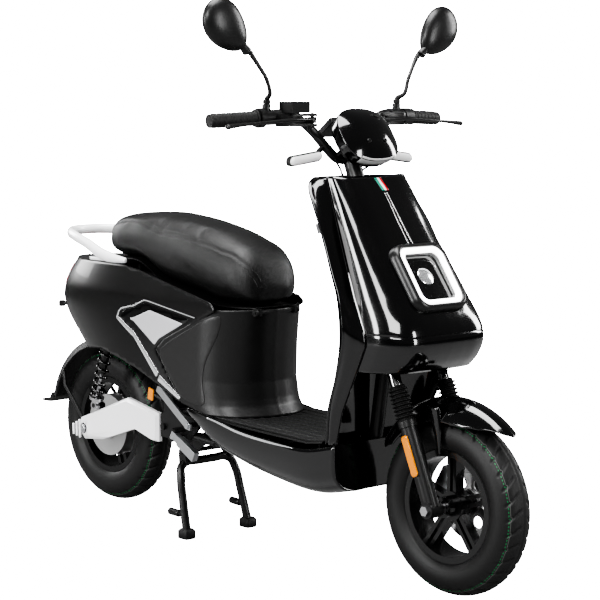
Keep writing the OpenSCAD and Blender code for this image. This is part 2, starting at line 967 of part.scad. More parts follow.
module front_rim() {
    color("dimgray")
        wheel_at(xf, zf) {
            rim();
            difference() {
                union() {
                    cylinder(h = 88, r = 24, center = true);
                    cylinder(h = 36, r = 34, center = true);
                    for (i = [0:4])
                        for (s = [-9, 9])
                            rotate([0, 0, 72 * i + 18])
                                translate([20, s - 5, -10])
                                    cube([bead_r - 26, 10, 26]);
                }
                cylinder(h = 200, r = axle_r + bore_gap, center = true);
            }
        }
}

module front_disc() {
    color("silver")
        mirror([0, 1, 0])
            wheel_at(xf, zf)
                translate([0, 0, -disc_y - 2])
                    difference() {
                        cylinder(h = 4, r = disc_r, $fn = 96);
                        translate([0, 0, -1])
                            cylinder(h = 6, r = 24);
                        for (i = [0:5])
                            rotate([0, 0, 60 * i])
                                translate([50, 0, -1])
                                    cylinder(h = 6, r = 14);
                        for (i = [0:11])
                            rotate([0, 0, 30 * i + 15])
                                translate([disc_r - 11, 0, -1])
                                    cylinder(h = 6, r = 4);
                    }
    color("silver")
        mirror([0, 1, 0])
            wheel_at(xf, zf)
                translate([0, 0, 38])
                    difference() {
                        cylinder(h = 8.4, r = 32);
                        translate([0, 0, -1])
                            cylinder(h = 12, r = 24);
                    }
}

module rear_hub() {
    color("dimgray")
        wheel_at(xr, zr) {
            rim();
            difference() {
                union() {
                    cylinder(h = 76, r = 84, center = true);
                    cylinder(h = 92, r = 40, center = true);
                    for (i = [0:4])
                        for (s = [-13, 13])
                            rotate([0, 0, 72 * i])
                                translate([76, s - 6, -13])
                                    cube([bead_r - 82, 12, 26]);
                }
                cylinder(h = 60, r = 74, center = true);
                cylinder(h = 200, r = axle_r + 0.5 + bore_gap, center = true);
            }
        }
}

module motor_stator() {
    color("silver") {
        bar_y(xr, zr, -126, 126, axle_r + 0.5);
        difference() {
            bar_y(xr, zr, -24, 24, 68);
            for (i = [0:17])
                translate([xr, 0, zr])
                    rotate([0, 20 * i, 0])
                        translate([60, 0, 0])
                            cube([24, 60, 7], center = true);
        }
        both()
            difference() {
                bar_y(xr, zr, 49, arm_y, 13);
                bar_y(xr, zr, 40, 100, axle_r + 0.2);
            }
        both()
            translate([xr, 122, zr])
                rotate([-90, 0, 0])
                    cylinder(h = 7, r = 13, $fn = 6);
    }
}

module swingarm() {
    color("dimgray") {
        difference() {
            union() {
                both()
                    slab(arm_y, arm_y + 20)
                        polygon([[xr - 36, 222], [xr - 32, 256], [-546, 268], [-404, 326], [-276, 304],
                            [-258, 296], [-258, 262], [-276, 258], [-367, 280], [-520, 226], [xr, 210]]);
                bar_y(arm_pivot[0], arm_pivot[2], -arm_y - 20, arm_y + 20, 18);
                tube([-330, -arm_y, 294], [-330, arm_y, 294], 13);
            }
            bar_y(arm_pivot[0], arm_pivot[2], -140, 140, bolt_r + 2 + bore_gap);
            bar_y(xr, zr, -140, 140, axle_r + 0.5 + bore_gap);
        }
        both() {
            tube([shock_eye[0], 94, 262], [shock_eye[0], 94, shock_eye[2]], 9);
            bar_y(shock_eye[0], shock_eye[2], 88, 124, bolt_r);
        }
    }
}

module swingarm_covers() {
    color("gainsboro")
        both()
            difference() {
                hull() {
                    slab(arm_y + 20, arm_y + 30)
                        polygon(cover_line());
                    slab(arm_y + 30, arm_y + 37)
                        polygon([for (p = cover_line()) [p[0] * 0.94 - 26, p[1] * 0.86 + 38]]);
                }
                bar_y(xr, zr, arm_y, arm_y + 60, 14);
                slab(arm_y, arm_y + 60)
                    polygon([[-700, 100], [-272, 100], [-272, 236], [-367, 262], [-520, 212], [-593, 199],
                        [-700, 199]]);
            }
}

function cover_line() = [[-626, 232], [-612, 262], [-546, 282], [-404, 340], [-272, 314], [-272, 240],
    [-300, 246], [-367, 268], [-520, 218], [-596, 205]];

module rear_fender() {
    color("black") {
        wheel_at(xr, zr)
            rotate([0, 0, 78])
                rotate_extrude(angle = 88, $fn = 96)
                    polygon([[216, 58], [234, 50], [238, 0], [234, -50], [216, -58], [218, -62], [237, -54],
                        [242, 0], [237, 54], [218, 62]]);
        slab(-54, 54)
            polygon([[xr - 241, 298], [xr - 232, 298], [xr - 231, 286], [xr - 246, 271], [xr - 284, 270],
                [xr - 286, 276], [xr - 251, 281]]);
        both()
            pipe([[xr - 177, 56, zr + 133], [xr - 150, 72, zr + 96], [xr - 60, 77, zr + 12],
                [xr - 24, 77, zr + 2]], 5, [0, 1, 0]);
        both()
            slab(74, arm_y - 0.3)
                polygon([[xr - 40, zr - 12], [xr - 40, zr + 16], [xr - 15, zr + 16], [xr - 15, zr - 12]]);
    }
}

module shock_place(k) {
    v = shock_eye - shock_top;
    translate(shock_top + [0, k * shock_y, 0])
        rotate([0, atan2(v[0], v[2]), 0])
            children();
}

shock_len = norm(shock_eye - shock_top);

module shock_body(k) {
    color("dimgray")
        shock_place(k) {
            difference() {
                union() {
                    rotate([90, 0, 0])
                        cylinder(h = 14, r = 12, center = true);
                    translate([0, 0, 8])
                        cylinder(h = 10, r = 18.5);
                    difference() {
                        translate([0, 0, 8])
                            cylinder(h = 78, r = 11);
                        translate([0, 0, 24])
                            cylinder(h = 80, r = 5 + bore_gap);
                    }
                }
                rotate([90, 0, 0])
                    cylinder(h = 30, r = bolt_r + bore_gap, center = true);
            }
        }
}

module shock_rod(k) {
    color("silver")
        shock_place(k)
            difference() {
                union() {
                    translate([0, 0, 72])
                        cylinder(h = shock_len - 82, r = 5);
                    translate([0, 0, shock_len - 26])
                        cylinder(h = 8, r = 20);
                    translate([0, 0, shock_len])
                        rotate([90, 0, 0])
                            cylinder(h = 14, r = 12, center = true);
                    translate([0, 0, shock_len - 20])
                        cylinder(h = 12, r = 10);
                }
                translate([0, 0, shock_len])
                    rotate([90, 0, 0])
                        cylinder(h = 30, r = bolt_r + 0.6, center = true);
            }
}

module shock_spring(k) {
    turns = 7;
    color("black")
        shock_place(k)
            coil(turns, 15.5, 3, 21.2, shock_len - 29.2);
}

module coil(turns, r, w, z0, z1) {
    steps = turns * 12;
    rings = [for (i = [0:steps]) let (a = 360 * i / 12, z = z0 + (z1 - z0) * i / steps)
        [for (b = [0:60:300]) [(r + w * cos(b)) * cos(a), (r + w * cos(b)) * sin(a), z + w * sin(b)]]];
    skin([for (i = [0:steps]) rings[i]]);
}

module shock_body_right() {
    shock_body(-1);
}

module shock_rod_right() {
    shock_rod(-1);
}

module shock_spring_right() {
    shock_spring(-1);
}

module shock_body_left() {
    shock_body(1);
}

module shock_rod_left() {
    shock_rod(1);
}

module shock_spring_left() {
    shock_spring(1);
}

module center_stand() {
    color("black") {
        pipe([[-172, -104, 14], [-212, -92, 160], [-220, -84, 180], [-222, -66, 188], [-222, 66, 188],
            [-220, 84, 180], [-212, 92, 160], [-172, 104, 14]], 11, [1, 0, 0]);
        both()
            difference() {
                slab(70, 78)
                    polygon([[-240, 222], [-216, 222], [-206, 186], [-236, 176]]);
                bar_y(stand_pivot[0], stand_pivot[2], 60, 90, bolt_r + bore_gap);
            }
        both() {
            tube([-184, 102, 60], [-236, 104, 62], 6);
            tube([-200, 103, 60], [-242, 104, 62], 10);
            tube([-186, 100, 58], [-206, 86, 172], 4);
            translate([-192, 87, 0])
                cube([38, 34, 26]);
        }
    }
}

module peg_left() {
    color("silver")
        peg_place()
            difference() {
                union() {
                    rotate([0, 90, 0])
                        cylinder(h = 22, r = 9, center = true);
                    translate([-10, -7, 0])
                        cube([20, 14, 96]);
                    translate([-13, -8.5, 26])
                        cube([26, 17, 72]);
                }
                rotate([0, 90, 0])
                    cylinder(h = 40, r = 4 + bore_gap, center = true);
            }
}

module peg_right() {
    mirror([0, 1, 0])
        peg_left();
}

frame();
head_bearings();
battery();
controller();
deck();
deck_mat();
belly_pan();
leg_shield();
front_panel();
headlight();
seat_column();
rear_body();
trim_strips();
rear_lights();
grab_rail();
peg_brackets();
ignition_key();
seat_base();
seat_cushion();
fork_upper();
handlebar();
visor();
display();
front_indicators();
perch_right();
perch_left();
switch_left();
grip_left();
brake_hoses();
mirror_stems();
throttle_grip();
lever_right();
lever_left();
mirror_head_right();
mirror_head_left();
horn_button();
turn_switch();
fork_sliders();
front_caliper();
front_fender();
fork_bellows();
front_axle();
front_tyre();
front_rim();
front_disc();
swingarm();
swingarm_covers();
motor_stator();
rear_fender();
rear_tyre();
rear_hub();
shock_body_right();
shock_rod_right();
shock_spring_right();
shock_body_left();
shock_rod_left();
shock_spring_left();
center_stand();
peg_right();
peg_left();
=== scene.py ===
"""Looks of an electric moped scooter on its centre stand: +X forward, +Y the rider's left, metres."""

import bmesh
import bpy
import numpy as np
from mathutils import Matrix, Vector
from mathutils.geometry import delaunay_2d_cdt


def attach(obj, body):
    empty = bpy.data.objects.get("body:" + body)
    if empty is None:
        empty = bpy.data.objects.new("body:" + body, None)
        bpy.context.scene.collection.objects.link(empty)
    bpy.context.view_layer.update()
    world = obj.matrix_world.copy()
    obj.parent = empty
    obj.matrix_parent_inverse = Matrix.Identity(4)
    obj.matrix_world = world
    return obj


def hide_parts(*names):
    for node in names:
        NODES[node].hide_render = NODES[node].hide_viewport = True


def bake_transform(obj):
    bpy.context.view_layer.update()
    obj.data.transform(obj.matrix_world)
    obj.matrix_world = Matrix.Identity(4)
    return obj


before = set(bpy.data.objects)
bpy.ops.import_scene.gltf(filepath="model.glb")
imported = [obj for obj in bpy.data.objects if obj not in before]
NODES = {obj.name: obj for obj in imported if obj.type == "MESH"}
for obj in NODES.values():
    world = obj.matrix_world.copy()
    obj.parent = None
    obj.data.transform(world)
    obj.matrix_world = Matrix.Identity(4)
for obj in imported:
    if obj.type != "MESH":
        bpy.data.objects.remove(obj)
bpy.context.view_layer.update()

# ---------------------------------------------------------------- camera
# A long lens at the height of the headlight, in front of the scooter and to its right.
azimuth, elevation, roll = np.radians([47.592, 6.163, 0.135])
back = np.array([np.sin(azimuth) * np.cos(elevation), -np.cos(azimuth) * np.cos(elevation),
                 np.sin(elevation)])
level = np.array([np.cos(azimuth), np.sin(azimuth), 0.0])
upright = np.cross(back, level)
right = np.cos(roll) * level + np.sin(roll) * upright
up = -np.sin(roll) * level + np.cos(roll) * upright
camera = bpy.data.objects.new("camera", bpy.data.cameras.new("camera"))
place = (3.7058, -3.2571, 1.1589)
camera.matrix_world = Matrix([[*axis, at] for axis, at in zip(np.stack([right, up, back], 1), place)] + [[0,
    0, 0, 1]])
camera.data.lens = 118.65
camera.data.sensor_width = 36
camera.data.shift_x = 0.00127
camera.data.shift_y = -0.00165
camera.data.clip_end = 200
bpy.context.scene.collection.objects.link(camera)
bpy.context.scene.camera = camera
bpy.context.scene.view_settings.look = "AgX - High Contrast"


# ---------------------------------------------------------------- floor and light
# A pale studio floor that brightens into a white room, and large soft boxes over and beside the scooter.
class Socket:
    """One shader socket. Arithmetic with numbers or other sockets adds Math nodes to its material."""

    def __init__(self, tree, link=None):
        self.tree, self.link = tree, link

    def node(self, kind, settings, values, out=0):
        """Adds a node: its settings are set first, then the value or link of each socket in values."""
        made = self.tree.nodes.new(kind)
        for key, value in settings.items():
            setattr(made, key, value)
        for key, value in values.items():
            if isinstance(value, Socket):
                self.tree.links.new(value.link, made.inputs[key])
            else:
                made.inputs[key].default_value = value
        return Socket(self.tree, made.outputs[out])

    def math(self, operation, *values):
        return self.node("ShaderNodeMath", {"operation": operation}, dict(enumerate(values)))

    def __add__(self, other):
        return self.math("ADD", self, other)

    def __sub__(self, other):
        return self.math("SUBTRACT", self, other)

    def __rsub__(self, other):
        return self.math("SUBTRACT", other, self)

    def __mul__(self, other):
        return self.math("MULTIPLY", self, other)

    def __truediv__(self, other):
        return self.math("DIVIDE", self, other)

    __radd__, __rmul__ = __add__, __mul__

    def over(self, edge, soft):
        """0 below edge, 1 above edge + soft, with a ramp between."""
        return self.math("MAXIMUM", self.math("MINIMUM", (self - edge) / soft, 1.0), 0.0)

    def band(self, low, high, soft):
        """1 between low and high, and 0 outside."""
        return self.over(low, soft) * (1 - self.over(high - soft, soft))

    def blend(self, first, second):
        """The colour first where this mask is 0, and second where it is 1."""
        return self.node("ShaderNodeMix", {"data_type": "RGBA"}, {0: self, 6: first, 7: second}, 2)


def rgb(red, green=None, blue=None):
    return (red, red if green is None else green, red if blue is None else blue, 1)


floor_mesh = bpy.data.meshes.new("floor")
floor_mesh.from_pydata([(-60, -60, 0), (60, -60, 0), (60, 60, 0), (-60, 60, 0)], [], [(0, 1, 2, 3)])
floor = bpy.data.objects.new("floor", floor_mesh)
bpy.context.scene.collection.objects.link(floor)
floor_finish = bpy.data.materials.new("floor")
floor_finish.use_nodes = True
boards = Socket(floor_finish.node_tree)
paint = boards.node("ShaderNodeBsdfDiffuse", {}, {"Color": rgb(0.9)})
glow = boards.node("ShaderNodeEmission", {}, {"Color": rgb(1), "Strength": 16.0})
# The dark grey diffuse below is the floor as reflections and bounced light see it: a painted shade in place
# of its white glow.
floor_painted_dim = boards.node("ShaderNodeBsdfDiffuse", {}, {"Color": rgb(0.3)})
spot = boards.node("ShaderNodeTexCoord", {}, {}, "Object")
away = boards.node("ShaderNodeVectorMath", {"operation": "LENGTH"}, {0: spot}, "Value")
# Within 0.6 m of the middle the floor glows at half strength, rising to full strength by 3 m: a painted shade
# round the scooter.
lit = boards.node("ShaderNodeMixShader", {}, {0: away.over(0.6, 2.4) * 0.5 + 0.5, 1: paint, 2: glow})
seen = boards.node("ShaderNodeLightPath", {}, {}, "Is Camera Ray")
shown = boards.node("ShaderNodeMixShader", {}, {0: seen, 1: floor_painted_dim, 2: lit})
floor_finish.node_tree.links.new(shown.link, floor_finish.node_tree.nodes["Material Output"].inputs[0])
floor_mesh.materials.append(floor_finish)

world = bpy.data.worlds.new("studio")
bpy.context.scene.world = world
world.use_nodes = True
room = Socket(world.node_tree)
dim = room.node("ShaderNodeBackground", {}, {"Color": rgb(1), "Strength": 0.12})
white = room.node("ShaderNodeBackground", {}, {"Color": rgb(1), "Strength": 16.0})
direct = room.node("ShaderNodeLightPath", {}, {}, "Is Camera Ray")
either = room.node("ShaderNodeMixShader", {}, {0: direct, 1: dim, 2: white})
world.node_tree.links.new(either.link, world.node_tree.nodes["World Output"].inputs["Surface"])


def softbox(name, place, aim, width, height, power):
    """A rectangular light at place that faces aim."""
    light = bpy.data.lights.new(name, "AREA")
    light.shape = "RECTANGLE"
    light.size, light.size_y, light.energy = width, height, power
    box = bpy.data.objects.new(name, light)
    box.location = place
    box.rotation_euler = (Vector(aim) - Vector(place)).to_track_quat("-Z", "Y").to_euler()
    bpy.context.scene.collection.objects.link(box)


softbox("box_top", (0.0, -0.3, 3.6), (0, 0, 0.5), 3.0, 1.6, 170)
softbox("box_side", (-1.5, -4.4, 1.6), (-0.2, 0, 0.5), 0.9, 2.6, 130)
softbox("box_key", (1.7, -4.2, 3.2), (0.3, 0, 0.6), 2.6, 1.8, 170)
softbox("box_front", (4.9, 0.6, 1.6), (0.4, 0, 0.6), 0.8, 2.4, 100)
softbox("box_left", (1.6, 4.4, 2.2), (0.2, 0, 0.7), 1.0, 2.4, 110)
softbox("box_back", (-4.4, -0.6, 2.0), (-0.4, 0, 0.6), 1.6, 2.0, 90)


# ---------------------------------------------------------------- frame, battery and controller
# Welded steel tube under satin black powder coat, with its bearings, a battery in a grained case and a
# cast controller between the rails.
def finish(name, color, roughness, metal=0.0, coat=0.0, grain=0.0, size=900.0, drift=0.04, detail=None):
    """A coat of paint, plastic, rubber or metal, with a fine grain (grain is its height in mm and size its
    fineness) and a slow drift in gloss. detail(look, x, y, z, noise) may change its color, rough, metal and
    height, each a number or a Socket."""
    material = bpy.data.materials.new(name)
    material.use_nodes = True
    tree = material.node_tree
    shader = tree.nodes["Principled BSDF"]
    where = Socket(tree).node("ShaderNodeTexCoord", {}, {}, "Object")
    x, y, z = (where.node("ShaderNodeSeparateXYZ", {}, {0: where}, axis) for axis in "XYZ")

    def noise(scale, depth=2.0):
        return where.node("ShaderNodeTexNoise", {}, {"Vector": where, "Scale": scale, "Detail": depth}, 0)

    look = {"color": color, "rough": noise(6.0, 3.0) * (2 * drift) + (roughness - drift), "metal": metal,
            "height": noise(size) * grain}
    if detail:
        detail(look, x, y, z, noise)
    bump = where.node("ShaderNodeBump", {}, {"Distance": 0.001, "Height": look["height"]}, "Normal")
    names = {"color": "Base Color", "rough": "Roughness", "metal": "Metallic", "alpha": "Alpha",
             "glow": "Emission Color"}
    for key, name in names.items():
        if isinstance(look.get(key), Socket):
            tree.links.new(look[key].link, shader.inputs[name])
        elif key in look:
            shader.inputs[name].default_value = look[key]
    tree.links.new(bump.link, shader.inputs["Normal"])
    shader.inputs["Emission Strength"].default_value = look.get("power", 0.0)
    shader.inputs["Coat Weight"].default_value = coat
    shader.inputs["Coat Roughness"].default_value = 0.04
    return material


def dress(material, *names):
    for name in names:
        NODES[name].data.materials.clear()
        NODES[name].data.materials.append(material)


def piece(name, vertices, faces, material, body, slot, stands_for=(), thick=0.0, bevel=0.0, angle=None):
    """A mesh with its doubles merged and its normals outward, which rides on body and wears material. slot is
    not used.
    thick gives it a wall inward, bevel rounds its edges, and angle keeps edges sharper than that sharp."""
    mesh = bpy.data.meshes.new(name)
    mesh.from_pydata([tuple(v) for v in np.asarray(vertices, float)], [], [tuple(map(int, f)) for f in faces])
    work = bmesh.new()
    work.from_mesh(mesh)
    bmesh.ops.remove_doubles(work, verts=work.verts, dist=2e-5)
    bmesh.ops.dissolve_degenerate(work, edges=work.edges, dist=1e-6)
    bmesh.ops.recalc_face_normals(work, faces=work.faces)
    work.to_mesh(mesh)
    work.free()
    mesh.materials.append(material)
    mesh.polygons.foreach_set("use_smooth", np.ones(len(mesh.polygons), bool))
    if angle:
        mesh.set_sharp_from_angle(angle=np.radians(angle))
    item = bpy.data.objects.new(name, mesh)
    bpy.context.scene.collection.objects.link(item)
    if thick:
        wall = item.modifiers.new("wall", "SOLIDIFY")
        wall.thickness, wall.offset, wall.use_even_offset = abs(thick), -np.sign(thick), True
    if bevel:
        edge = item.modifiers.new("edge", "BEVEL")
        edge.width, edge.segments, edge.limit_method = bevel, 2, "ANGLE"
        edge.angle_limit = np.radians(35)
    if body:
        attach(item, body)
    if stands_for:
        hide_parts(*stands_for)
    return item


def rounded_copy(node, material, body, slot, bevel=0.0012, angle=35):
    """The node's own shape with its flat faces joined up and its edges rounded."""
    source = NODES[node].data
    mesh = bmesh.new()
    mesh.from_mesh(source)
    bmesh.ops.remove_doubles(mesh, verts=mesh.verts, dist=1e-5)
    bmesh.ops.dissolve_limit(mesh, angle_limit=np.radians(1.0), verts=mesh.verts, edges=mesh.edges)
    vertices = [tuple(v.co) for v in mesh.verts]
    faces = [[v.index for v in f.verts] for f in mesh.faces]
    mesh.free()
    return piece(node + "_shape", vertices, faces, material, body, slot, (node,), bevel=bevel, angle=angle)


powder = finish("powder_coat", rgb(0.01), 0.36, grain=0.05, size=1400)
steel = finish("ground_steel", rgb(0.55, 0.55, 0.56), 0.28, metal=1.0, grain=0.02)
grained = finish("grained_plastic", rgb(0.008), 0.48, grain=0.1, size=1300)
alloy = finish("satin_alloy", rgb(0.55, 0.56, 0.57), 0.32, metal=1.0, grain=0.03, size=700)
cast = finish("cast_black", rgb(0.009), 0.34, grain=0.07, size=1000)
dress(powder, "frame")
dress(steel, "head_bearings", "ignition_key")
dress(grained, "battery", "deck")
rounded_copy("controller", alloy, "chassis", "alu", 0.001)

# ---------------------------------------------------------------- deck mat
# A moulded rubber mat that lies on the floor board round the column, with raised ribs along it.
rubber = finish("mat_rubber", rgb(0.008), 0.55, grain=0.25, size=1500, drift=0.06)
rounded_copy("deck_mat", rubber, "chassis", "mat_rubber", 0.0008)


# ---------------------------------------------------------------- leg shield and front panel
# Two injection-moulded panels in gloss black lacquer, parted by a narrow seam down each side.
def row_at(table, height, column=1):
    table = np.asarray(table)
    return np.interp(height, table[:, 0], table[:, column])


def curve(points, count):
    """Points spaced evenly along a smooth curve: on each span a cubic that leaves and arrives along the mean
    of the chords beside it."""
    points = np.asarray(points, float)
    gaps = np.linalg.norm(np.diff(points, axis=0), axis=1) + 1e-9
    knots = np.concatenate([[0], np.cumsum(gaps)])
    chord = np.diff(points, axis=0) / gaps[:, None]
    slope = np.concatenate([chord[:1], (chord[1:] * gaps[:-1, None] + chord[:-1] * gaps[1:, None])
                            / (gaps[1:] + gaps[:-1])[:, None], chord[-1:]])
    at = np.linspace(0, knots[-1], count)
    span = np.clip(np.searchsorted(knots, at, "right") - 1, 0, len(gaps) - 1)
    step = gaps[span][:, None]
    u = (at - knots[span])[:, None] / step
    return ((2 * u**3 - 3 * u**2 + 1) * points[span] + (u**3 - 2 * u**2 + u) * step * slope[span]
            + (3 * u**2 - 2 * u**3) * points[span + 1] + (u**3 - u**2) * step * slope[span + 1])


def loft(name, rings, material, body, slot, stands_for=(), closed=False, caps=False, **rest):
    """A skin over rings of points; closed joins each ring's ends, and caps fills the first and last ring."""
    rings = np.asarray(rings, float)
    m, n = rings.shape[:2]
    i, j = np.meshgrid(np.arange(m - 1), np.arange(n if closed else n - 1), indexing="ij")
    i, j = i.ravel(), j.ravel()
    k = (j + 1) % n
    faces = list(np.stack([i * n + j, i * n + k, (i + 1) * n + k, (i + 1) * n + j], 1))
    if caps:
        faces += [np.arange(n), (m - 1) * n + np.arange(n)[::-1]]
    return piece(name, rings.reshape(-1, 3), faces, material, body, slot, stands_for, **rest)


def mirrored(half):
    """A half section from one side to the middle, and its mirror image back to the other side."""
    half = np.asarray(half, float)
    return np.concatenate([half, half[:-1][::-1] * [1, -1, 1]])


FRONT_AXLE = np.array([0.672, 0, 0.208])
REAR_AXLE = np.array([-0.594, 0, 0.235])
XF = FRONT_AXLE[0]
SEAM_X = [(0.33, -0.24), (0.41, -0.218), (0.5, -0.17), (0.575, -0.132), (0.605, -0.137), (0.68, -0.18),
          (0.736, -0.207), (0.829, -0.253), (0.913, -0.292), (0.95, -0.309)]
SEAM_Y = [(0.33, 0.15), (0.41, 0.152), (0.5, 0.157), (0.575, 0.161), (0.605, 0.161), (0.68, 0.152),
          (0.736, 0.145), (0.829, 0.132), (0.913, 0.123), (0.95, 0.119)]
WING = [(0.331, -0.267, 0.16, -0.287), (0.41, -0.254, 0.166, -0.28), (0.5, -0.214, 0.178, -0.272),
        (0.59, -0.176, 0.195, -0.275), (0.68, -0.19, 0.192, -0.288), (0.736, -0.217, 0.188, -0.304),
        (0.829, -0.262, 0.18, -0.342), (0.893, -0.305, 0.169, -0.37), (0.915, -0.321, 0.164, -0.377),
        (0.93, -0.331, 0.156, -0.382), (0.94, -0.338, 0.144, -0.385), (0.946, -0.342, 0.128, -0.387)]
NOSE = [(0.512, -0.06), (0.54, -0.032), (0.575, -0.017), (0.605, -0.02), (0.68, -0.066), (0.736, -0.106),
        (0.829, -0.175), (0.913, -0.235), (0.95, -0.264)]
gloss = finish("gloss_lacquer", rgb(0.0022, 0.0022, 0.0024), 0.13, coat=1.0, drift=0.02)


def wing_half(z, edge_x, edge_y, middle_x):
    """Half a level section of the leg shield: from the seam out to the wing's rolled edge, and back inward
    along the rider's side to the middle."""
    seam = np.array([XF + row_at(SEAM_X, z) - 0.001, row_at(SEAM_Y, z) + 0.0006, z])
    edge = np.array([XF + edge_x, edge_y, z])
    middle = np.array([XF + middle_x, 0, z])
    outer = [seam - [0, 0.004, 0], seam, seam * 0.6 + edge * 0.4 + [0.003, 0.0015, 0],
             seam * 0.25 + edge * 0.75 + [0.004, 0.001, 0], edge + [0.004, -0.0035, 0], edge + [0.0015, 0, 0],
             edge - [0.004, 0.0035, 0]]
    inner = [np.array([edge[0] * a + middle[0] * (1 - a) + d, edge_y * b, z])
             for a, b, d in ((0.82, 0.93, -0.004), (0.45, 0.7, -0.004), (0.15, 0.38, 0.0))] + [middle]
    return np.concatenate([curve(outer[:5], 22), curve(outer[4:7], 8)[1:], curve([outer[6]] + inner, 26)[1:]])


shield_rings = [mirrored(wing_half(*row)) for row in curve(WING, 70)]
loft("leg_shield_skin", shield_rings, gloss, "chassis", "gloss_black", ("leg_shield",), thick=0.0025,
     angle=50)
cover = np.array(shield_rings[-1])
satin_top = finish("shield_top", rgb(0.006), 0.42, grain=0.05, size=1300)
loft("leg_shield_top", [cover + [0, 0, 0.0004], cover * [0, 1, 1] + [0.325, 0, -0.006]], satin_top, "chassis",
     "gloss_black", angle=50)


def nose_half(z):
    """Half a level section of the front panel: a round shoulder beside the seam, then a nearly flat face."""
    front = XF + row_at(NOSE, z)
    seam = np.array([XF + row_at(SEAM_X, z), -row_at(SEAM_Y, z), z])
    deep = front - seam[0]
    half = curve([seam, [front - 0.62 * deep, seam[1] * 0.965, z], [front - 0.3 * deep, seam[1] * 0.87, z],
                  [front - 0.12 * deep, seam[1] * 0.74, z], [front - 0.05 * deep, seam[1] * 0.58, z],
                  [front - 0.012 * deep, seam[1] * 0.3, z], [front, 0, z]], 48)
    half[-1, 1] = 0
    return half


NOSE = curve(NOSE, 60)
nose_rows = np.concatenate([np.linspace(0.512, 0.5985, 18), [0.5992, 0.6], np.linspace(0.6007, 0.95, 60)])
nose_rings = np.array([mirrored(nose_half(z)) for z in nose_rows])
nose_rings[18:20, :, 0] -= 0.0016
loft("front_panel_skin", nose_rings, gloss, "chassis", "gloss_black", ("front_panel",), thick=0.0025,
     angle=60)
top = nose_rings[-1]
loft("front_panel_lip", [top, (top - [0.35, 0, 0]) * [0.4, 0.6, 1] + [0.35, 0, -0.006]], gloss, "chassis",
     "gloss_black")

# A thin pale strip along the lower half of each seam: a painted highlight for the bright sliver of light the
# seam shows.
strip_rows = np.linspace(0.6, 0.735, 24)
# The chrome is partly real chrome and partly painted reflection: a quarter of it is a near-white diffuse coat
# that keeps it bright where the room it reflects is dim.
chrome = finish("chrome", rgb(0.86, 0.87, 0.88), 0.16, metal=0.75, drift=0.02)
for side, label in ((-1, "right"), (1, "left")):
    spread = np.sin(np.linspace(0.0, np.pi, 24)) ** 0.6 * 0.005 + 0.0004
    seam_line = np.array([[XF + row_at(SEAM_X, z) + 0.0002, side * (row_at(SEAM_Y, z) + 0.0012),
                           z] for z in strip_rows])
    # Its near-white finish is painted light, not a bright trim.
    loft("seam_highlight_strip_" + label, [seam_line - spread[:, None] * [1, 0, 0],
                                 seam_line + spread[:, None] * [0.4, 0, 0]],
         finish("painted_seam_highlight", rgb(0.9), 0.3, metal=0.2, coat=0.4), "chassis", "chrome", thick=0.001)

# ---------------------------------------------------------------- headlight
# A satin bezel round a frosted light ring, a smoked window, and a projector with its reflectors behind it.
TILT = np.radians(55)


def on_nose(points):
    """Points given as along the face, across it and out of it, from the middle of the headlight."""
    points = np.asarray(points, float)
    along, across, out = points[..., 0], points[..., 1], points[..., 2]
    return np.stack([XF - 0.086 + along * np.cos(TILT) + out * np.sin(TILT), across,
                     0.728 - along * np.sin(TILT) + out * np.cos(TILT)], -1)


def soft_square(length, width, radius, out, count=16):
    """A rectangle with round corners: a quarter turn of count points about each corner's centre."""
    turn = np.linspace(0, np.pi / 2, count)
    corners = [(1, 1, 0), (-1, 1, 1), (-1, -1, 2), (1, -1, 3)]
    ring = [np.stack([i * (length / 2 - radius) + radius * np.cos(turn + k * np.pi / 2),
                      j * (width / 2 - radius) + radius * np.sin(turn + k * np.pi / 2),
                      np.full(count, out)], -1) for i, j, k in corners]
    return np.concatenate(ring)


def square_loft(name, rows, material, slot, stands_for=(), **rest):
    return loft(name, [on_nose(soft_square(*row)) for row in rows], material, "chassis", slot, stands_for,
                closed=True, **rest)


bezel = finish("satin_bezel", rgb(0.03), 0.3, metal=0.5, grain=0.02)
light_ring = finish("light_ring", rgb(0.85), 0.3, detail=lambda look,
                    *rest: look.update(glow=rgb(1), power=3.0))
inside = finish("lamp_housing", rgb(0.3), 0.35, metal=0.4)
smoked = finish("smoked_window", rgb(0.02), 0.04, detail=lambda look, *rest: look.update(alpha=0.14))
square_loft("headlight_bezel", [(0.176, 0.170, 0.034, -0.030), (0.177, 0.171, 0.034, -0.012),
                                (0.171, 0.164, 0.033, 0.001), (0.162, 0.153, 0.031, 0.0056),
                                (0.156, 0.1465, 0.029, 0.0062), (0.1515, 0.1405, 0.027, 0.004),
                                (0.151, 0.140, 0.0265, -0.004)], bezel, "lens", ("headlight",))
square_loft("headlight_ring", [(0.1505, 0.1395, 0.0262, -0.004), (0.150, 0.139, 0.026, 0.0014),
                               (0.144, 0.133, 0.0248, 0.0042), (0.1305, 0.1195, 0.0208, 0.0042),
                               (0.1255, 0.1145, 0.0195, 0.0015), (0.125, 0.114, 0.019, -0.006)], light_ring,
                               "lens")
square_loft("headlight_window", [(0.1248, 0.1138, 0.0188, -0.004), (0.06, 0.05, 0.01, -0.003),
                                 (0, 0, 0, -0.0028)], smoked, "lens")
square_loft("headlight_cavity", [(0.1246, 0.1136, 0.0188, -0.006), (0.112, 0.1, 0.014, -0.03),
                                 (0.108, 0.096, 0.012, -0.045), (0, 0, 0, -0.0452)], inside, "lens", angle=40)
turn = np.linspace(0, 2 * np.pi, 48, endpoint=False)
circle = np.stack([np.cos(turn), np.sin(turn)], -1)
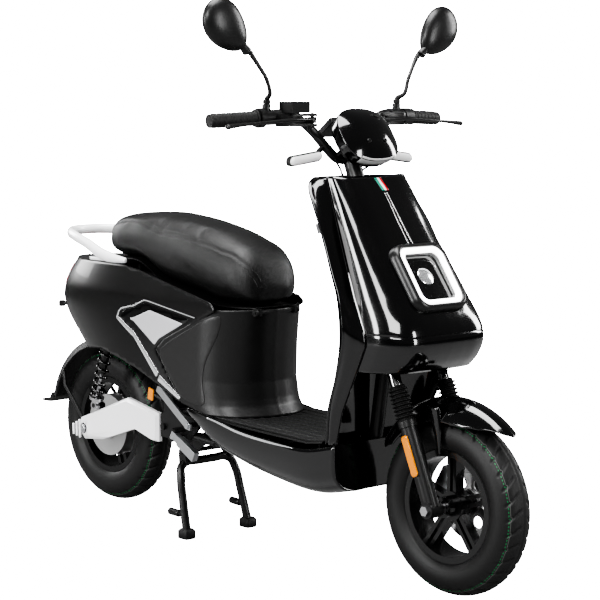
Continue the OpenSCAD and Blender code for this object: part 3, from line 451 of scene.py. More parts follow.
for name, middle, rows, paint in (
        ("headlight_projector", (-0.004, -0.004), [(0.031, -0.044), (0.03, -0.02), (0.0305, -0.017),
                                                   (0.027, -0.0165),
                                               (0.0245, -0.0125), (0.016, -0.0095), (0, -0.0085)], chrome),
        ("headlight_reflector", (-0.03, 0.0), [(0.042, -0.012), (0.036, -0.022), (0.026, -0.032),
                                               (0.014, -0.039),
                                               (0, -0.042)], chrome)):
    flat = 1.0 if "projector" in name else 0.42
    rings = [on_nose(np.concatenate([circle * r * [flat, 1] + middle, np.full((48, 1), out)], 1)) for r,
             out in rows]
    loft(name, rings, paint, "chassis", "chrome", closed=True)
bars = [soft_square(0.012, 0.07, 0.004, out) + [0.043, 0, 0] for out in (-0.04, -0.022, -0.02)] + [
    soft_square(0.002, 0.06, 0.0009, -0.0195) + [0.043, 0, 0]]
loft("headlight_bar", [on_nose(bar) for bar in bars], alloy, "chassis", "chrome", closed=True)

# ---------------------------------------------------------------- belly pan
# A gloss-black moulded pan under the floor; its sides rise to the edge of the deck.
BELLY = curve([(-0.118, 0.330, 0.352, 0.146), (-0.02, 0.262, 0.343, 0.156), (0.09, 0.230, 0.325, 0.160),
               (0.205, 0.209, 0.316, 0.162), (0.345, 0.199, 0.312, 0.162), (0.431, 0.216, 0.330, 0.156)], 60)
PAN = curve([(1, 1), (1, 0.55), (0.96, 0.3), (0.84, 0.12), (0.66, 0.01), (0.3, 0), (0, 0)], 24)
belly_rings = [mirrored([(x, -half * a, low + (high - low) * b) for a, b in PAN]) for x, low, high,
               half in BELLY]
loft("belly_pan_skin", belly_rings, gloss, "chassis", "gloss_black", ("belly_pan",), thick=0.003, angle=50)
front_ring = np.array(belly_rings[-1])
piece("belly_pan_front", np.concatenate([front_ring - [0.0015, 0, 0], front_ring - [0.004, 0, 0]]),
      [np.arange(len(front_ring)), len(front_ring) + np.arange(len(front_ring))[::-1]], gloss, "chassis",
      "gloss_black")

# ---------------------------------------------------------------- column cover
# A satin dark-grey cover in front of the battery, with a smoother raised cheek on each side whose lighter
# grey is a painted sheen.
COLUMN = [(0.33, 0.088), (0.345, 0.076), (0.365, 0.062), (0.382, 0.057), (0.426, 0.049), (0.515, 0.052),
          (0.608, 0.062)]
SEAM = [(0.3476, -0.062), (0.362, -0.135), (0.47, -0.226), (0.492, -0.237), (0.518, -0.204), (0.606, -0.012),
        (0.61, -0.006)]
satin = finish("satin_column", rgb(0.012), 0.4, grain=0.05, size=1200, drift=0.05)


def column_half(z, rear):
    """Half a level section: a nearly flat front, a round corner, and a flat side back to rear."""
    front = row_at(COLUMN, z)
    line = curve([[front, 0, z], [front - 0.005, 0.045, z], [front - 0.024, 0.09, z],
                  [front - 0.06, 0.1275, z],
                  [front - 0.11, 0.147, z], [-0.1, 0.15, z], [-0.26, 0.15, z]], 160)
    share = np.linspace(0, 1, 60)
    last = np.interp(-rear, -line[:, 0], np.arange(160))
    at = share * last
    return np.stack([np.interp(at, np.arange(160), line[:, k]) for k in range(3)], -1)


column_rows = np.linspace(0.341, 0.6065, 64)
column_rings = [mirrored(column_half(z, row_at(SEAM, z))[::-1] * [1, -1, 1]) for z in column_rows]
loft("column_skin", column_rings, satin, "chassis", "column_grey", ("seat_column",), thick=0.003, angle=50)


def lay_out(outline, spacing, place, count):
    """A closed outline in two measures (u, v), resampled smoothly by straight runs with soft corners, filled
    with a grid, and put in space by place(points)."""
    outline = np.asarray(outline, float)
    span = np.linalg.norm(np.roll(outline, -1, 0) - outline, axis=1)
    ring = np.concatenate([outline, outline[:1]])
    at = np.concatenate([[0], np.cumsum(span)])
    where = np.linspace(0, at[-1], count, endpoint=False)
    ring = np.stack([np.interp(where, at, ring[:, k]) for k in range(2)], -1)
    low, high = ring.min(0), ring.max(0)
    grid = np.stack(np.meshgrid(*[np.arange(a, b, spacing) for a, b in zip(low, high)], indexing="ij"),
                    -1).reshape(-1, 2)
    near = np.linalg.norm(grid[:, None] - ring[None], axis=2).min(1) > spacing * 0.45
    points = np.concatenate([ring, grid[near]])
    loop = [(i, (i + 1) % count) for i in range(count)]
    flat, _, faces, *_ = delaunay_2d_cdt([Vector(p) for p in points], loop, [], 1, 1e-7)
    return place(np.array([tuple(p) for p in flat])), faces


def soften(outline, radius, count=5):
    """The outline with each corner cut by a curve that starts and ends radius away from it."""
    outline = np.asarray(outline, float)
    result = []
    for before, corner, after in zip(np.roll(outline, 1, 0), outline, np.roll(outline, -1, 0)):
        r1 = min(radius, 0.45 * np.linalg.norm(before - corner))
        r2 = min(radius, 0.45 * np.linalg.norm(after - corner))
        a = corner + (before - corner) / np.linalg.norm(before - corner) * r1
        b = corner + (after - corner) / np.linalg.norm(after - corner) * r2
        for t in np.linspace(0, 1, count):
            result.append((1 - t) ** 2 * a + 2 * t * (1 - t) * corner + t**2 * b)
    return np.array(result)


def on_column(points, side):
    """Points (x, z) on the cheek, put on the column's side and 1.2 mm proud of it."""
    made = []
    for x, z in points:
        line = column_half(z, -0.26)
        y = np.interp(-x, -line[:, 0], line[:, 1])
        made.append([x, side * (y + 0.0012), z])
    return np.array(made)


# The cheek's grey, lighter than the cover's, is a painted sheen for the grey the side shows by reflection.
cheek_painted_sheen = finish("satin_cheek_sheen_painted", rgb(0.022), 0.36, grain=0.04, size=1300, drift=0.03)
CHEEK = soften([(-0.226, 0.486), (-0.196, 0.508), (-0.03, 0.588), (0.0, 0.594), (-0.012, 0.545),
                (-0.05, 0.47),
                (-0.058, 0.42), (-0.045, 0.37), (-0.062, 0.362), (-0.128, 0.372), (-0.215, 0.462)], 0.02)
for side, label in ((-1, "right"), (1, "left")):
    vertices, faces = lay_out(CHEEK, 0.009, lambda points: on_column(points, side), 150)
    item = piece("column_cheek_" + label, vertices, faces, cheek_painted_sheen, "chassis", "column_grey",
                 thick=0.002, bevel=0.0006)

# ---------------------------------------------------------------- rear body
# One wrap-round moulding in satin black from the column's seam on one side, behind the wheel, to the other.
TAIL = curve([(0.38, -0.64), (0.445, -0.655), (0.514, -0.724), (0.548, -0.756), (0.588, -0.774),
              (0.632, -0.759),
              (0.70, -0.706)], 60)
TURN = -0.33
WRAP = 0.52
body_finish = finish("satin_body", rgb(0.006), 0.3, grain=0.02, size=1200, drift=0.03, coat=0.2)


def tail_point(s, z, proud=0.0):
    """The body unrolled: s is the distance forward of where the side starts to turn in, and behind it the
    turn goes on to the middle line at s = -WRAP; z is the height."""
    s, z = np.asarray(s, float), np.asarray(z, float)
    half = 0.15 - np.interp(z, [0.62, 0.70], [0, 0.014])
    turn = np.clip(-s / WRAP, 0, 1) * np.pi / 2
    end = row_at(TAIL, z)
    x = np.where(s > 0, TURN + s, TURN + (end - TURN) * np.sin(turn) ** 0.85)
    y = np.where(s > 0, half, half * np.clip(np.cos(turn), 0, 1) ** 0.8)
    outward = np.stack([np.where(s > 0, 0, -np.sin(turn)), np.where(s > 0, 1, np.cos(turn)), 0 * s], -1)
    return np.stack([x, y, z], -1) + outward * proud


def unrolled(x):
    """How far along the unrolled body a point of the side lies, from its X at mid height."""
    share = np.clip((np.asarray(x, float) - TURN) / (-0.76 - TURN), 0, 1) ** (1 / 0.85)
    return np.where(np.asarray(x) > TURN, np.asarray(x) - TURN, -WRAP * np.arcsin(share) / (np.pi / 2))


BODY_TOP = [(-0.78, 0.695), (-0.40, 0.695), (-0.34, 0.688), (-0.286, 0.678), (-0.14, 0.649), (-0.022, 0.6245),
            (-0.006, 0.6095)]
BODY_LOW = [(-0.008, 0.6045), (-0.2, 0.5175), (-0.2365, 0.493), (-0.2285, 0.47), (-0.138, 0.362),
            (-0.23, 0.398),
            (-0.4, 0.447), (-0.52, 0.468), (-0.64, 0.456), (-0.672, 0.458), (-0.69, 0.517), (-0.78, 0.517)]
edge = np.array(BODY_TOP + BODY_LOW)
outline = np.stack([unrolled(edge[:, 0]), edge[:, 1]], -1)
outline[[0, -1], 0] = -WRAP
outline = soften(outline, 0.006, 3)
outline[:, 0] = np.clip(outline[:, 0], -WRAP, 1)
flat, faces = lay_out(outline, 0.009, lambda points: points, 420)
half_skin = tail_point(flat[:, 0], flat[:, 1])
half_skin[flat[:, 0] < -WRAP + 1e-6, 1] = 0
count = len(half_skin)
both = np.concatenate([half_skin, half_skin * [1, -1, 1]])
piece("rear_body_skin", both, [list(f) for f in faces] + [[i + count for i in f][::-1] for f in faces],
      body_finish,
      "chassis", "satin_black", ("rear_body",), thick=0.003, angle=60)
cap = [[x, y, 0.6935 + 0.0015 * k] for k in (0, 1) for x, y in mirrored(np.array(
    [[-0.42, -0.134, 0], [-0.56, -0.12, 0], [-0.65, -0.09, 0], [-0.69, -0.052, 0], [-0.704, 0, 0]]))[:, :2]]
ring = np.arange(9)
piece("rear_body_cap", cap, [ring[::-1], ring + 9] + [[i, (i + 1) % 9, (i + 1) % 9 + 9,
                                                       i + 9] for i in range(9)],
      grained, "chassis", "satin_black", angle=40)

# ---------------------------------------------------------------- bright strips and panels
# Painted silver inlays and chromed strips, pressed into the body sides with clips.
silver = finish("silver_paint", rgb(0.72, 0.72, 0.74), 0.34, metal=0.5, coat=0.4, grain=0.01, size=2200)
OUTLINES = {
    "gloss_band": ([(-0.392, 0.553), (-0.375, 0.577), (-0.284, 0.6045), (-0.1, 0.5775), (-0.236, 0.502),
                    (-0.238, 0.489),
                    (-0.147, 0.38), (-0.152, 0.3785), (-0.224, 0.4195)], gloss, 0.0008, "gloss_black", 0.014),
    "silver_panel": ([(-0.346, 0.559), (-0.262, 0.587), (-0.128, 0.5635), (-0.226, 0.5165), (-0.243, 0.499)],
                     silver,
                     0.0018, "alu", 0.005),
    "lower_strip": ([(-0.404, 0.556), (-0.394, 0.5615), (-0.227, 0.431), (-0.235, 0.4165)], chrome, 0.0022,
                    "chrome", 0.004),
    "foot_strip": ([(-0.231, 0.409), (-0.2225, 0.4245), (-0.137, 0.377), (-0.144, 0.369)], chrome, 0.0022,
                   "chrome", 0.005),
    "upper_line": ([(-0.404, 0.556), (-0.394, 0.575), (-0.382, 0.583), (-0.286, 0.6125), (-0.27, 0.6115),
                    (-0.08, 0.5835),
                    (-0.08, 0.581), (-0.271, 0.6085), (-0.285, 0.6092), (-0.379, 0.58), (-0.389, 0.573),
                    (-0.394, 0.5615)],
                   chrome, 0.0016, "chrome", 0.001)}
for label, (line, paint, proud, slot, corner) in OUTLINES.items():
    for side, hand in ((-1, "right"), (1, "left")):
        bent = soften(line, corner)
        vertices, faces = lay_out(np.stack([unrolled(bent[:, 0]), bent[:, 1]], -1), 0.012,
                                  lambda points: tail_point(points[:, 0], points[:, 1], proud) * [1, side, 1],
                                  130)
        piece(label + "_" + hand, vertices, faces, paint, "chassis", slot,
              ("trim_strips",) if label == "silver_panel" else (), thick=proud - 0.0002, bevel=0.0003)
for side, hand in ((-1, "right"), (1, "left")):
    deck_line = curve([(-0.03, 0.344), (0.0, 0.3405), (0.09, 0.325), (0.205, 0.316), (0.3, 0.3135)], 40)
    taper = np.sin(np.linspace(0.25, np.pi, 40)) ** 0.5 * 0.0032
    width = np.interp(deck_line[:, 0], BELLY[:, 0], BELLY[:, 3])
    rows = [np.stack([deck_line[:, 0], side * (width + 0.0012), deck_line[:, 1] - 0.006 + k * taper],
                     -1) for k in (-1, 1)]
    loft("deck_strip_" + hand, rows, chrome, "chassis", "chrome", thick=0.0012)
    nose_z = np.linspace(0.797, 0.912, 40)
    nose_x = XF + row_at(NOSE, nose_z) + 0.0006
    taper = np.interp(nose_z, [0.797, 0.912], [1.0, 0.55])
    rows = [np.stack([nose_x, side * (0.0066 + k * 0.0017) * taper, nose_z], -1) for k in (-1, 1)]
    loft("nose_strip_" + hand, rows, chrome, "chassis", "chrome", thick=0.0012)


def bands(look, x, y, z, noise):
    across = y + (z - 0.932) * 0.2
    look["color"] = across.over(0.0035, 0.0006).blend(
        across.over(-0.0035, 0.0006).blend(rgb(0.01, 0.3, 0.2), rgb(0.9)), rgb(0.6, 0.02, 0.03))


badge_z, badge_y = np.meshgrid(np.linspace(0.9165, 0.9455, 12), np.linspace(-0.0105, 0.0105, 12),
                               indexing="ij")
badge_x = XF + row_at(NOSE, badge_z) - 0.012 * (badge_y / 0.03) ** 2 * 0.3 + 0.0008
loft("nose_badge", np.stack([badge_x, badge_y - (badge_z - 0.932) * 0.2, badge_z], -1),
     finish("badge_enamel", rgb(0.5), 0.2, coat=0.5, detail=bands), "chassis", "lens", thick=0.0012)

# ---------------------------------------------------------------- rear lights
# A red tail lens with a clear middle strip that wraps the tail, and an amber indicator on a stalk each side.


def sweep(name, points, radius, material, body, slot, stands_for=(), count=60, around=20, flat=1.0,
          side=(0, 1, 0)):
    """A closed rod along a smooth path: a ring of radius across the path at each step, scaled by flat along
    side's direction, with its two ends rounded over."""
    path = curve(points, count)
    radius = np.interp(np.linspace(0, 1, count), np.linspace(0, 1, np.size(radius)), np.atleast_1d(radius))
    heading = np.gradient(path, axis=0)
    heading /= np.linalg.norm(heading, axis=1)[:, None]
    across = np.cross(heading, side)
    across /= np.linalg.norm(across, axis=1)[:, None]
    level = np.cross(heading, across)
    turn = np.linspace(0, 2 * np.pi, around, endpoint=False)
    shape = np.cos(turn)[None, :, None] * across[:, None] + flat * np.sin(turn)[None, :, None] * level[:,
        None]
    rings = list(path[:, None] + radius[:, None, None] * shape)
    for end, way in ((0, -1), (-1, 1)):
        for k in (0.4, 0.7, 0.9, 0.999):
            shift = way * heading[end] * radius[end] * 0.35 * k
            ring = path[end] + shift + radius[end] * np.sqrt(1 - k * k) * shape[end]
            rings = [ring] + rings if end == 0 else rings + [ring]
    return loft(name, rings, material, body, slot, stands_for, closed=True, caps=True)


def lamp_bands(look, x, y, z, noise):
    look["color"] = z.band(0.6395, 0.6545, 0.0006).blend(rgb(0.5, 0.006, 0.01), rgb(0.85, 0.83, 0.83))
    look["height"] = (y * 2600 + z * 2600).math("SINE", y * 900 + z * 900) * 0.02


lens_s = np.linspace(-0.352, -WRAP, 40)
lens_rows = [(0.618, 0.0004), (0.6195, 0.0016), (0.632, 0.0022), (0.647, 0.0024), (0.662, 0.0022),
             (0.6745, 0.0016),
             (0.676, 0.0004)]
end_in = np.clip((-0.352 - lens_s) / 0.008, 0, 1) ** 0.5
loft("tail_lens", [mirrored(tail_point(lens_s, z + 0 * lens_s, (proud * end_in)[:, None])) for z,
                   proud in lens_rows],
     finish("tail_lens", rgb(0.4, 0.01, 0.01), 0.12, coat=0.6, detail=lamp_bands), "chassis", "red_lens",
     ("rear_lights",),
     thick=0.0012)
tail_amber = finish("tail_amber", rgb(0.75, 0.22, 0.01), 0.2, coat=0.6)
for hand, side in (("right", -1), ("left", 1)):
    sweep("tail_stalk_" + hand, [(-0.715, side * 0.0465, 0.5615), (-0.757, side * 0.0645, 0.5585)], 0.0055,
          grained,
          "chassis", "black_plastic", count=8, side=(0, 0, 1))
    for part, near, far, grow, paint in (("case", 0.0035, 0.0125, 0.0, grained),
                                         ("lens", -0.0005, 0.0036, -0.0012, tail_amber)):
        ring = soft_square(0.018 + 2 * grow, 0.0175 + 2 * grow, 0.004, 0.0, 6)[:, :2]
        ends = [[[-0.76 + u * 0.788 - (v + 0.008) * 0.616, side * (0.058 + u * 0.616 + (v + 0.008) * 0.788),
                  0.558 + w]
                 for v, w in ring] for u in (near, far)]
        loft("tail_indicator_" + part + "_" + hand, ends, paint, "chassis",
             "lens" if part == "lens" else "black_plastic",
             closed=True, caps=True, bevel=0.0012, angle=40)

# ---------------------------------------------------------------- grab rail
# One cast rail in silver-white paint, bolted to the frame behind the seat at both ends.
pearl = finish("pearl_paint", rgb(0.92, 0.92, 0.93), 0.3, metal=0.05, coat=0.5, grain=0.01, size=2400)
rail = [(-0.400, 0.122, 0.703), (-0.45, 0.124, 0.706), (-0.503, 0.124, 0.716), (-0.57, 0.119, 0.738),
        (-0.64, 0.108, 0.753),
        (-0.696, 0.082, 0.760), (-0.727, 0.04, 0.762)]
rail += [(-0.734, 0, 0.762)] + [(x, -y, z) for x, y, z in rail[::-1]]
sweep("grab_rail_bar", rail, [0.0055, 0.0115, 0.0115, 0.0105, 0.0105, 0.0105, 0.0105, 0.0105, 0.0105, 0.0105,
                              0.0115,
                              0.0115, 0.0055], pearl, "chassis", "alu", ("grab_rail",), 140, 24, 1.3,
                              (0, 0, 1))
for hand, side in (("right", -1), ("left", 1)):
    foot = soften([(-0.562, 0.104), (-0.42, 0.104), (-0.405, 0.128), (-0.562, 0.122)], 0.008)
    vertices = [[x, side * y, z] for z in (0.6955, 0.7045) for x, y in foot]
    n = len(foot)
    piece("grab_rail_foot_" + hand, vertices, [np.arange(n)[::-1], np.arange(n) + n]
          + [[i, (i + 1) % n, (i + 1) % n + n, i + n] for i in range(n)], pearl, "chassis", "alu",
          bevel=0.002, angle=40)

# ---------------------------------------------------------------- passenger peg brackets and side reflectors
# Pressed alloy arms bolted to the frame beside the pegs, and a small amber reflector on each side.
rounded_copy("peg_brackets", alloy, "chassis", "alu", 0.001)
amber = finish("amber_reflector", rgb(0.8, 0.27, 0.01), 0.22, coat=0.7, detail=lambda look, x, y, z,
               noise: look.update(
    height=(x * 1500).math("SINE", x * 1500) * (z * 1500).math("SINE", z * 1500) * 0.05))
for hand, side in (("right", -1), ("left", 1)):
    plate = soften([(-0.305, 0.350), (-0.284, 0.346), (-0.280, 0.376), (-0.301, 0.381)], 0.004)
    n = len(plate)
    vertices = [[x, side * y, z] for y in (0.1225, 0.1265) for x, z in plate]
    piece("side_reflector_" + hand, vertices, [np.arange(n)[::-1], np.arange(n) + n]
          + [[i, (i + 1) % n, (i + 1) % n + n, i + n] for i in range(n)], amber, "chassis", "lens",
          bevel=0.001, angle=40)
    sweep("side_reflector_arm_" + hand, [(-0.262, side * 0.112, 0.35), (-0.278, side * 0.118, 0.36),
                                         (-0.292, side * 0.122, 0.364)],
          0.004, powder, "chassis", "frame_paint", count=12, around=10, side=(0, 0, 1))

# ---------------------------------------------------------------- seat
# A moulded foam cushion under stitched black leatherette, stapled to a hinged plastic base.
SEAT = np.array([(-0.5385, 0.7197, 0.7848, 0.0533), (-0.5204, 0.7085, 0.8051, 0.0843),
                 (-0.4727, 0.7085, 0.8177, 0.1101),
                 (-0.3815, 0.7075, 0.8254, 0.1204), (-0.2755, 0.6607, 0.8203, 0.1221),
                 (-0.1604, 0.6346, 0.8051, 0.1185),
                 (-0.0536, 0.614, 0.7811, 0.1124), (0.0081, 0.613, 0.7576, 0.1013),
                 (0.0385, 0.613, 0.7217, 0.0841),
                 (0.05, 0.616, 0.6853, 0.0608)])
pan = curve(SEAT[1:-1], 50)
pan = [[[x, -0.8 * half, low - 0.0015], [x, 0.8 * half, low - 0.0015], [x, 0.8 * half, low - 0.0045],
        [x, -0.8 * half, low - 0.0045]] for x, low, _, half in pan]
loft("seat_base_pan", pan, grained, "seat", "black_plastic", ("seat_base",), closed=True, caps=True, angle=40)
HINGE = np.array([0.055, 0, 0.601])
for hand, side in (("right", -1), ("left", 1)):
    eye = [HINGE + np.stack([r * circle[:, 0], np.full(48, side * y), r * circle[:, 1]], -1)
           for r, y in ((0.0052, 0.064), (0.0094, 0.064), (0.0094, 0.072), (0.0052, 0.072), (0.0052, 0.064))]
    loft("seat_hinge_eye_" + hand, eye, grained, "seat", "black_plastic", closed=True, angle=40)
    sweep("seat_hinge_arm_" + hand, [(0.052, side * 0.068, 0.6105), (0.0, side * 0.068, 0.6105)], 0.004,
          grained, "seat",
          "black_plastic", count=6, around=8, flat=0.5, side=(0, 0, 1))
rows = curve(SEAT, 90)
turn = np.linspace(0, 2 * np.pi, 72, endpoint=False)
across = np.sign(np.cos(turn)) * np.abs(np.cos(turn)) ** 0.66
above = np.sign(np.sin(turn)) * np.abs(np.sin(turn)) ** 0.76
lift = 0.36 + np.where(above > 0, 0.64, 0.36) * above
INSET = 0.004
rings = [np.stack([np.full(72, x), (half - INSET) * across, low + INSET + (high - low - 2 * INSET) * lift],
                  -1)
         for x, low, high, half in rows]
ends = [rings[0].mean(0) + [-0.006, 0, 0], rings[-1].mean(0) + [0.004, 0, 0]]
rings = [ends[0] + (rings[0] - rings[0].mean(0)) * k + [0.0045 * k**3, 0, 0] for k in (0.05, 0.5,
    0.85)] + rings + [
    ends[1] + (rings[-1] - rings[-1].mean(0)) * k - [0.0035 * k**3, 0, 0] for k in (0.85, 0.5, 0.05)]


def leather_look(look, x, y, z, noise):
    cell = x.node("ShaderNodeTexVoronoi", {"feature": "DISTANCE_TO_EDGE"}, {"Scale": 520.0}, "Distance")
    place = x.node("ShaderNodeTexCoord", {}, {}, "Object")
    x.tree.links.new(place.link, cell.link.node.inputs["Vector"])
    seam = x.node("ShaderNodeAttribute", {"attribute_name": "seam"}, {}, "Fac")
    dash = (x * 900 + z * 380).math("SINE", x * 900 + z * 380).over(-0.2, 0.3)
    thread = (seam.band(0.0042, 0.0054, 0.0003) + (seam * -1).band(0.0042, 0.0054, 0.0003)) * dash
    look["color"] = thread.blend(noise(4.0, 4.0).over(0.2, 0.6).blend(rgb(0.0065), rgb(0.0095)), rgb(0.02))
    look["height"] = cell.over(0.0, 0.12) * 0.10 + thread * 0.35 + noise(60.0) * 0.15


leather = finish("leatherette", rgb(0.008), 0.43, drift=0.06, detail=leather_look)
cushion = loft("seat_cushion_pad", rings, leather, "", "leather", closed=True, caps=True)
bpy.context.view_layer.objects.active = cushion


def applied(item):
    """Bakes the modifiers of item into its mesh."""
    solid = bpy.data.meshes.new_from_object(item.evaluated_get(bpy.context.evaluated_depsgraph_get()))
    item.modifiers.clear()
    item.data = solid


def swell(item, voxel, pressure, limit):
    """Remeshes item evenly, blows it up as a cloth for 20 frames, and lets no point move more than limit."""
    remesh = item.modifiers.new("remesh", "REMESH")
    remesh.mode, remesh.voxel_size, remesh.use_smooth_shade = "VOXEL", voxel, True
    applied(item)
    start = np.empty(len(item.data.vertices) * 3)
    item.data.vertices.foreach_get("co", start)
    start = start.reshape(-1, 3)
    cloth = item.modifiers.new("cloth", "CLOTH")
    cloth.settings.use_pressure, cloth.settings.uniform_pressure_force = True, pressure
    cloth.settings.effector_weights.gravity = 0
    cloth.settings.tension_stiffness = cloth.settings.compression_stiffness = 12
    cloth.point_cache.frame_start, cloth.point_cache.frame_end = 1, 20
    for step in range(1, 21):
        bpy.context.scene.frame_set(step)
    applied(item)
    bpy.context.scene.frame_set(1)
    moved = np.empty(len(item.data.vertices) * 3)
    item.data.vertices.foreach_get("co", moved)
    shift = moved.reshape(-1, 3) - start
    far = np.linalg.norm(shift, axis=1)[:, None] + 1e-9
    item.data.vertices.foreach_set("co", (start + shift * np.minimum(1, limit / far)).ravel())


swell(cushion, 0.006, 4.0, 0.006)
smooth = cushion.modifiers.new("smooth", "SMOOTH")
smooth.factor, smooth.iterations = 0.5, 6
fine = cushion.modifiers.new("fine", "SUBSURF")
fine.levels = fine.render_levels = 1
applied(cushion)
mesh = cushion.data
spots = np.empty(len(mesh.vertices) * 3)
mesh.vertices.foreach_get("co", spots)
spots = spots.reshape(-1, 3)
low, high, half = (np.interp(spots[:, 0], SEAT[:, 0], SEAT[:, k]) for k in (1, 2, 3))
share = (spots[:, 2] - low) / (high - low)
gap = np.abs(spots[:, 1]) - 0.8 * half
gap = np.where(share > 0.62, gap, 0.05)
mesh.attributes.new("seam", "FLOAT", "POINT").data.foreach_set("value", gap.astype(np.float32))
inward = np.stack([0 * gap, -np.sign(spots[:, 1]) * 0.5, -0.85 + 0 * gap], -1)
spots += inward * (0.0016 * np.exp(-(gap / 0.0032) ** 2) * np.clip((share - 0.62) / 0.1, 0, 1))[:, None]
mesh.vertices.foreach_set("co", spots.ravel())
mesh.polygons.foreach_set("use_smooth", np.ones(len(mesh.polygons), bool))
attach(cushion, "seat")
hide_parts("seat_cushion")

# ---------------------------------------------------------------- handlebar, perches and levers
# A bent steel bar in satin black, with cast lever perches, moulded switches and rubber grips.
def bar_at(y, side=1):
    """The middle of the handlebar's straight part, y outward from the centre plane."""
    k = (y - 0.14) / 0.228
    return (0.27 - 0.028 * k, side * y, 1.088 - 0.01 * k)


RAKE = np.radians(23)
bar = [bar_at(0.36), bar_at(0.25), bar_at(0.15), (0.2765, 0.118, 1.0745), (0.286, 0.095, 1.054),
       (0.304, 0.062, 1.011),
       (0.312, 0.04, 0.989), (0.317, 0.02, 0.9845)]
bar += [(0.318, 0, 0.984)] + [(x, -y, z) for x, y, z in bar[::-1]]
sweep("handlebar_bar", bar, 0.0115, powder, "steering", "cast_black", ("handlebar",), 160, 24, 1.0, (1, 0, 0))
sweep("handlebar_stem", [(0.3425, 0, 0.934), (0.3205, 0, 0.986)], 0.0205, powder, "steering", "cast_black",
      count=8,
      side=(0, 1, 0))
for hand, side in (("right", -1), ("left", 1)):
    sweep("visor_arm_" + hand, [(0.31, side * 0.04, 0.992), (0.345, side * 0.046, 1.008),
                                (0.388, side * 0.042, 1.034)],
          0.007, powder, "steering", "cast_black", count=16, side=(0, 1, 0))
sweep("display_arm", [(0.312, 0, 0.99), (0.297, 0, 1.02), (0.285, 0, 1.052)], 0.009, powder, "steering",
      "cast_black",
      count=16, side=(0, 1, 0))
rounded_copy("perch_right", cast, "steering", "cast_black", 0.0025)
rounded_copy("perch_left", cast, "steering", "cast_black", 0.0025)
rounded_copy("switch_left", grained, "steering", "black_plastic", 0.003)
grip = finish("grip_rubber", rgb(0.008), 0.58, grain=0.2, size=1400, drift=0.05)
rounded_copy("grip_left", grip, "steering", "grip_rubber", 0.0007)
rounded_copy("throttle_grip", grip, "throttle", "grip_rubber", 0.0007)
dress(finish("horn_yellow", rgb(0.5, 0.32, 0.01), 0.4), "horn_button")
dress(finish("switch_grey", rgb(0.25), 0.4), "turn_switch")
for hand, side in (("right", -1), ("left", 1)):
    blade = [(0.306, 0.112, 1.079), (0.315, 0.14, 1.0795), (0.3255, 0.19, 1.08), (0.3255, 0.24, 1.077),
             (0.323, 0.29, 1.0735),
             (0.3195, 0.34, 1.070), (0.318, 0.372, 1.067), (0.318, 0.381, 1.066)]
    sweep("lever_blade_" + hand, [(x, side * y, z) for x, y, z in blade],
          [0.0075, 0.0078, 0.0062, 0.0055, 0.0052, 0.005, 0.0062, 0.0085], cast, hand + "_lever",
          "cast_black",
          ("lever_" + hand,), 80, 16, 0.72, (0, 0, 1))
    eye = np.stack([0.306 + 0.0098 * circle[:, 0], side * (0.112 + 0.0098 * circle[:, 1])], -1)
    loft("lever_eye_" + hand, [np.concatenate([eye, np.full((48, 1), z)], 1) for z in (1.0716, 1.0864)], cast,
         hand + "_lever", "cast_black", closed=True, caps=True, bevel=0.001, angle=40)

# ---------------------------------------------------------------- display and visor
# A flat display under a gloss-black moulded visor, which carries a grey position lens along its lower edge.
rounded_copy("display", grained, "steering", "black_plastic", 0.002)
LEAN = np.radians(56)


def on_visor(points):
    """Points given as down the visor's face, across it and out of it."""
    points = np.asarray(points, float)
    down, across, out = points[..., 0], points[..., 1], points[..., 2]
    return np.stack([XF - 0.294 + down * np.cos(LEAN) + out * np.sin(LEAN), across,
                     1.045 - down * np.sin(LEAN) + out * np.cos(LEAN)], -1)


def visor_ring(share, out, count=96, low=0.0, high=2 * np.pi):
    """A superellipse, 146 by 168 mm at share 1, with out mm of height over the rim."""
    turn = np.linspace(low, high, count, endpoint=high - low < 6)
    cos, sin = np.cos(turn), np.sin(turn)
    return np.stack([0.073 * share * np.sign(cos) * np.abs(cos) ** 0.7,
                     0.084 * share * np.sign(sin) * np.abs(sin) ** 0.8,
                     np.full(count, out)], -1)


shares = np.sin(np.linspace(0, np.pi / 2, 26))
dome = [visor_ring(k, 0.021 * (1 - k**2.6), high=2 * np.pi - 2 * np.pi / 96) for k in shares]
skirt = [visor_ring(k, out, high=2 * np.pi - 2 * np.pi / 96) for k,
         out in ((1.0, -0.004), (0.985, -0.015), (0.955, -0.026), (0.94, -0.034))]
loft("visor_shell", [on_visor(ring) for ring in dome + skirt], gloss, "steering", "gloss_black", ("visor",),
     closed=True,
     thick=0.0025)
frosted = finish("frosted_lens", rgb(0.5), 0.25, coat=0.6, detail=lambda look, x, y, z, noise: look.update(
    height=(y * 1600).math("SINE", y * 1600) * 0.04))
lip = [on_visor(visor_ring(k, out, 40, -0.62, 0.62)) for k, out in ((0.955, 0.0045), (0.99, 0.001),
                                                                    (1.008, -0.004), (0.996, -0.015),
                                                                    (0.975, -0.022))]
loft("visor_lens", lip, frosted, "steering", "white_lens", thick=0.0012)
for across in (-0.026, 0.026):
    at = np.array([0.028, across, 0.0196])
    head = [on_visor(np.concatenate([circle[::3] * r, np.full((16, 1), out)], 1) + at)
            for r, out in ((0.0052, -0.003), (0.0052, 0.0002), (0.0044, 0.001), (0.0024, 0.001),
                           (0.0022, -0.0008), (0, -0.0008))]
    loft("visor_screw_" + ("right" if across < 0 else "left"), head, cast, "steering", "cast_black",
         closed=True, angle=40)

